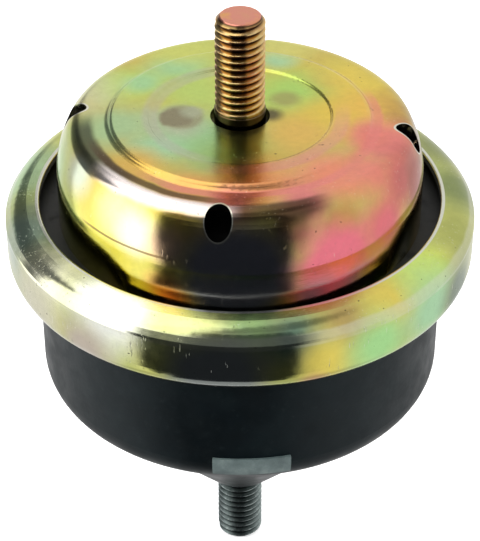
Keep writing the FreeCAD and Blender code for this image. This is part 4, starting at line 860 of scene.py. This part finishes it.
def panelMask(tree, sideways, elevation, panel):
    # 1 for the directions that a panel covers, with soft edges, in degrees
    turn = math.radians(panel["azimuth"])
    away = addNode(tree, "VectorMath", {0: sideways, 1: (math.sin(turn), -math.cos(turn), 0)},
                   out="Value", operation="DOT_PRODUCT")
    away = addNode(tree, "Math", {0: away}, operation="ARCCOSINE")
    away = addNode(tree, "Math", {0: away}, operation="DEGREES")
    soft = panel["soft"] / 2
    sides, above, below = [
        addNode(tree, "MapRange", {"Value": angle, "From Min": none, "From Max": full},
                interpolation_type="SMOOTHSTEP")
        for angle, none, full in ((away, panel["width"] + soft, panel["width"] - soft),
                                  (elevation, panel["low"] - soft, panel["low"] + soft),
                                  (elevation, panel["high"] + soft, panel["high"] - soft))]
    mask = addNode(tree, "Math", {0: above, 1: below}, operation="MULTIPLY")
    return addNode(tree, "Math", {0: sides, 1: mask}, operation="MULTIPLY")


def buildWorld():
    world = bpy.data.worlds.new("studio")
    world.use_nodes = True
    tree = world.node_tree
    tree.nodes.clear()
    direction = addNode(tree, "TexCoord", out="Generated")
    axes = addNode(tree, "SeparateXYZ", {"Vector": direction}).node.outputs
    elevation = addNode(tree, "Math", {0: axes["Z"]}, operation="ARCSINE")
    elevation = addNode(tree, "Math", {0: elevation}, operation="DEGREES")
    sideways = addNode(tree, "CombineXYZ", {"X": axes["X"], "Y": axes["Y"]})
    sideways = addNode(tree, "VectorMath", {0: sideways}, operation="NORMALIZE")
    level = room["level"]
    for panel in studioPanels:
        mask = panelMask(tree, sideways, elevation, panel)
        change = addNode(tree, "Math", {0: panel["level"], 1: level}, operation="SUBTRACT")
        level = addNode(tree, "Math", {0: mask, 1: change, 2: level}, operation="MULTIPLY_ADD")
    # the unlit side of the studio is faintly blue
    lit = addNode(tree, "MapRange", {
        "Value": level, "From Min": room["shadeFrom"], "From Max": room["shadeTo"]},
        interpolation_type="SMOOTHSTEP")
    colour = addNode(tree, "Mix", {0: lit, 6: room["shade"], 7: (1, 1, 1, 1)}, out=2, data_type="RGBA")
    # mirrored, the studio shows its panels; it lights the rest evenly and looks white behind
    path = addNode(tree, "LightPath").node.outputs
    mirrored = addNode(tree, "Math", {0: path["Is Glossy Ray"], 1: path["Is Transmission Ray"]},
                       operation="MAXIMUM")
    change = addNode(tree, "Math", {0: level, 1: room["plain"]}, operation="SUBTRACT")
    plain = addNode(tree, "Math", {0: mirrored, 1: change, 2: room["plain"]}, operation="MULTIPLY_ADD")
    toWhite = addNode(tree, "Math", {0: 1.0, 1: plain}, operation="SUBTRACT")
    seen = addNode(tree, "Math", {0: path["Is Camera Ray"], 1: toWhite, 2: plain},
                   operation="MULTIPLY_ADD")
    colour = addNode(tree, "Mix", {0: mirrored, 6: (1, 1, 1, 1), 7: colour}, out=2, data_type="RGBA")
    ground = addNode(tree, "Background", {"Color": colour, "Strength": seen})
    addNode(tree, "OutputWorld", {"Surface": ground})
    bpy.context.scene.world = world


lamps = [
    {"name": "keyLamp", "at": (-0.55, -0.45, 0.75), "size": 0.5, "power": 9.0},
    {"name": "fillLamp", "at": (0.6, -0.35, 0.45), "size": 0.6, "power": 4.0},
    {"name": "backLamp", "at": (0.1, 0.7, 0.7), "size": 0.7, "power": 6.0},
]
lampAim = (0, 0, 0.055)


def buildLamps():
    for lamp in lamps:
        light = bpy.data.lights.new(lamp["name"], "AREA")
        light.size = lamp["size"]
        light.energy = lamp["power"]
        holder = bpy.data.objects.new(lamp["name"], light)
        holder.location = lamp["at"]
        holder.rotation_mode = "QUATERNION"
        holder.rotation_quaternion = (Vector(lampAim) - holder.location).to_track_quat("-Z", "Y")
        holder.visible_glossy = False
        bpy.context.scene.collection.objects.link(holder)


shot = {"aim": (0.0, 0.0, 0.0534), "elevation": 35.9, "distance": 0.402, "lens": 128.4, "sensor": 36.0}


def buildCamera():
    lens = bpy.data.cameras.new("camera")
    lens.lens = shot["lens"]
    lens.sensor_width = shot["sensor"]
    lens.clip_start = 0.01
    lens.clip_end = 20.0
    holder = bpy.data.objects.new("camera", lens)
    tilt = math.radians(shot["elevation"])
    back = Vector((0, -math.cos(tilt), math.sin(tilt)))
    holder.location = Vector(shot["aim"]) + back * shot["distance"]
    holder.rotation_mode = "QUATERNION"
    holder.rotation_quaternion = (-back).to_track_quat("-Z", "Y")
    bpy.context.scene.collection.objects.link(holder)
    bpy.context.scene.camera = holder


buildFloor()
buildWorld()
buildLamps()
buildCamera()
bpy.context.scene.view_settings.view_transform = "Standard"
print("stage set")
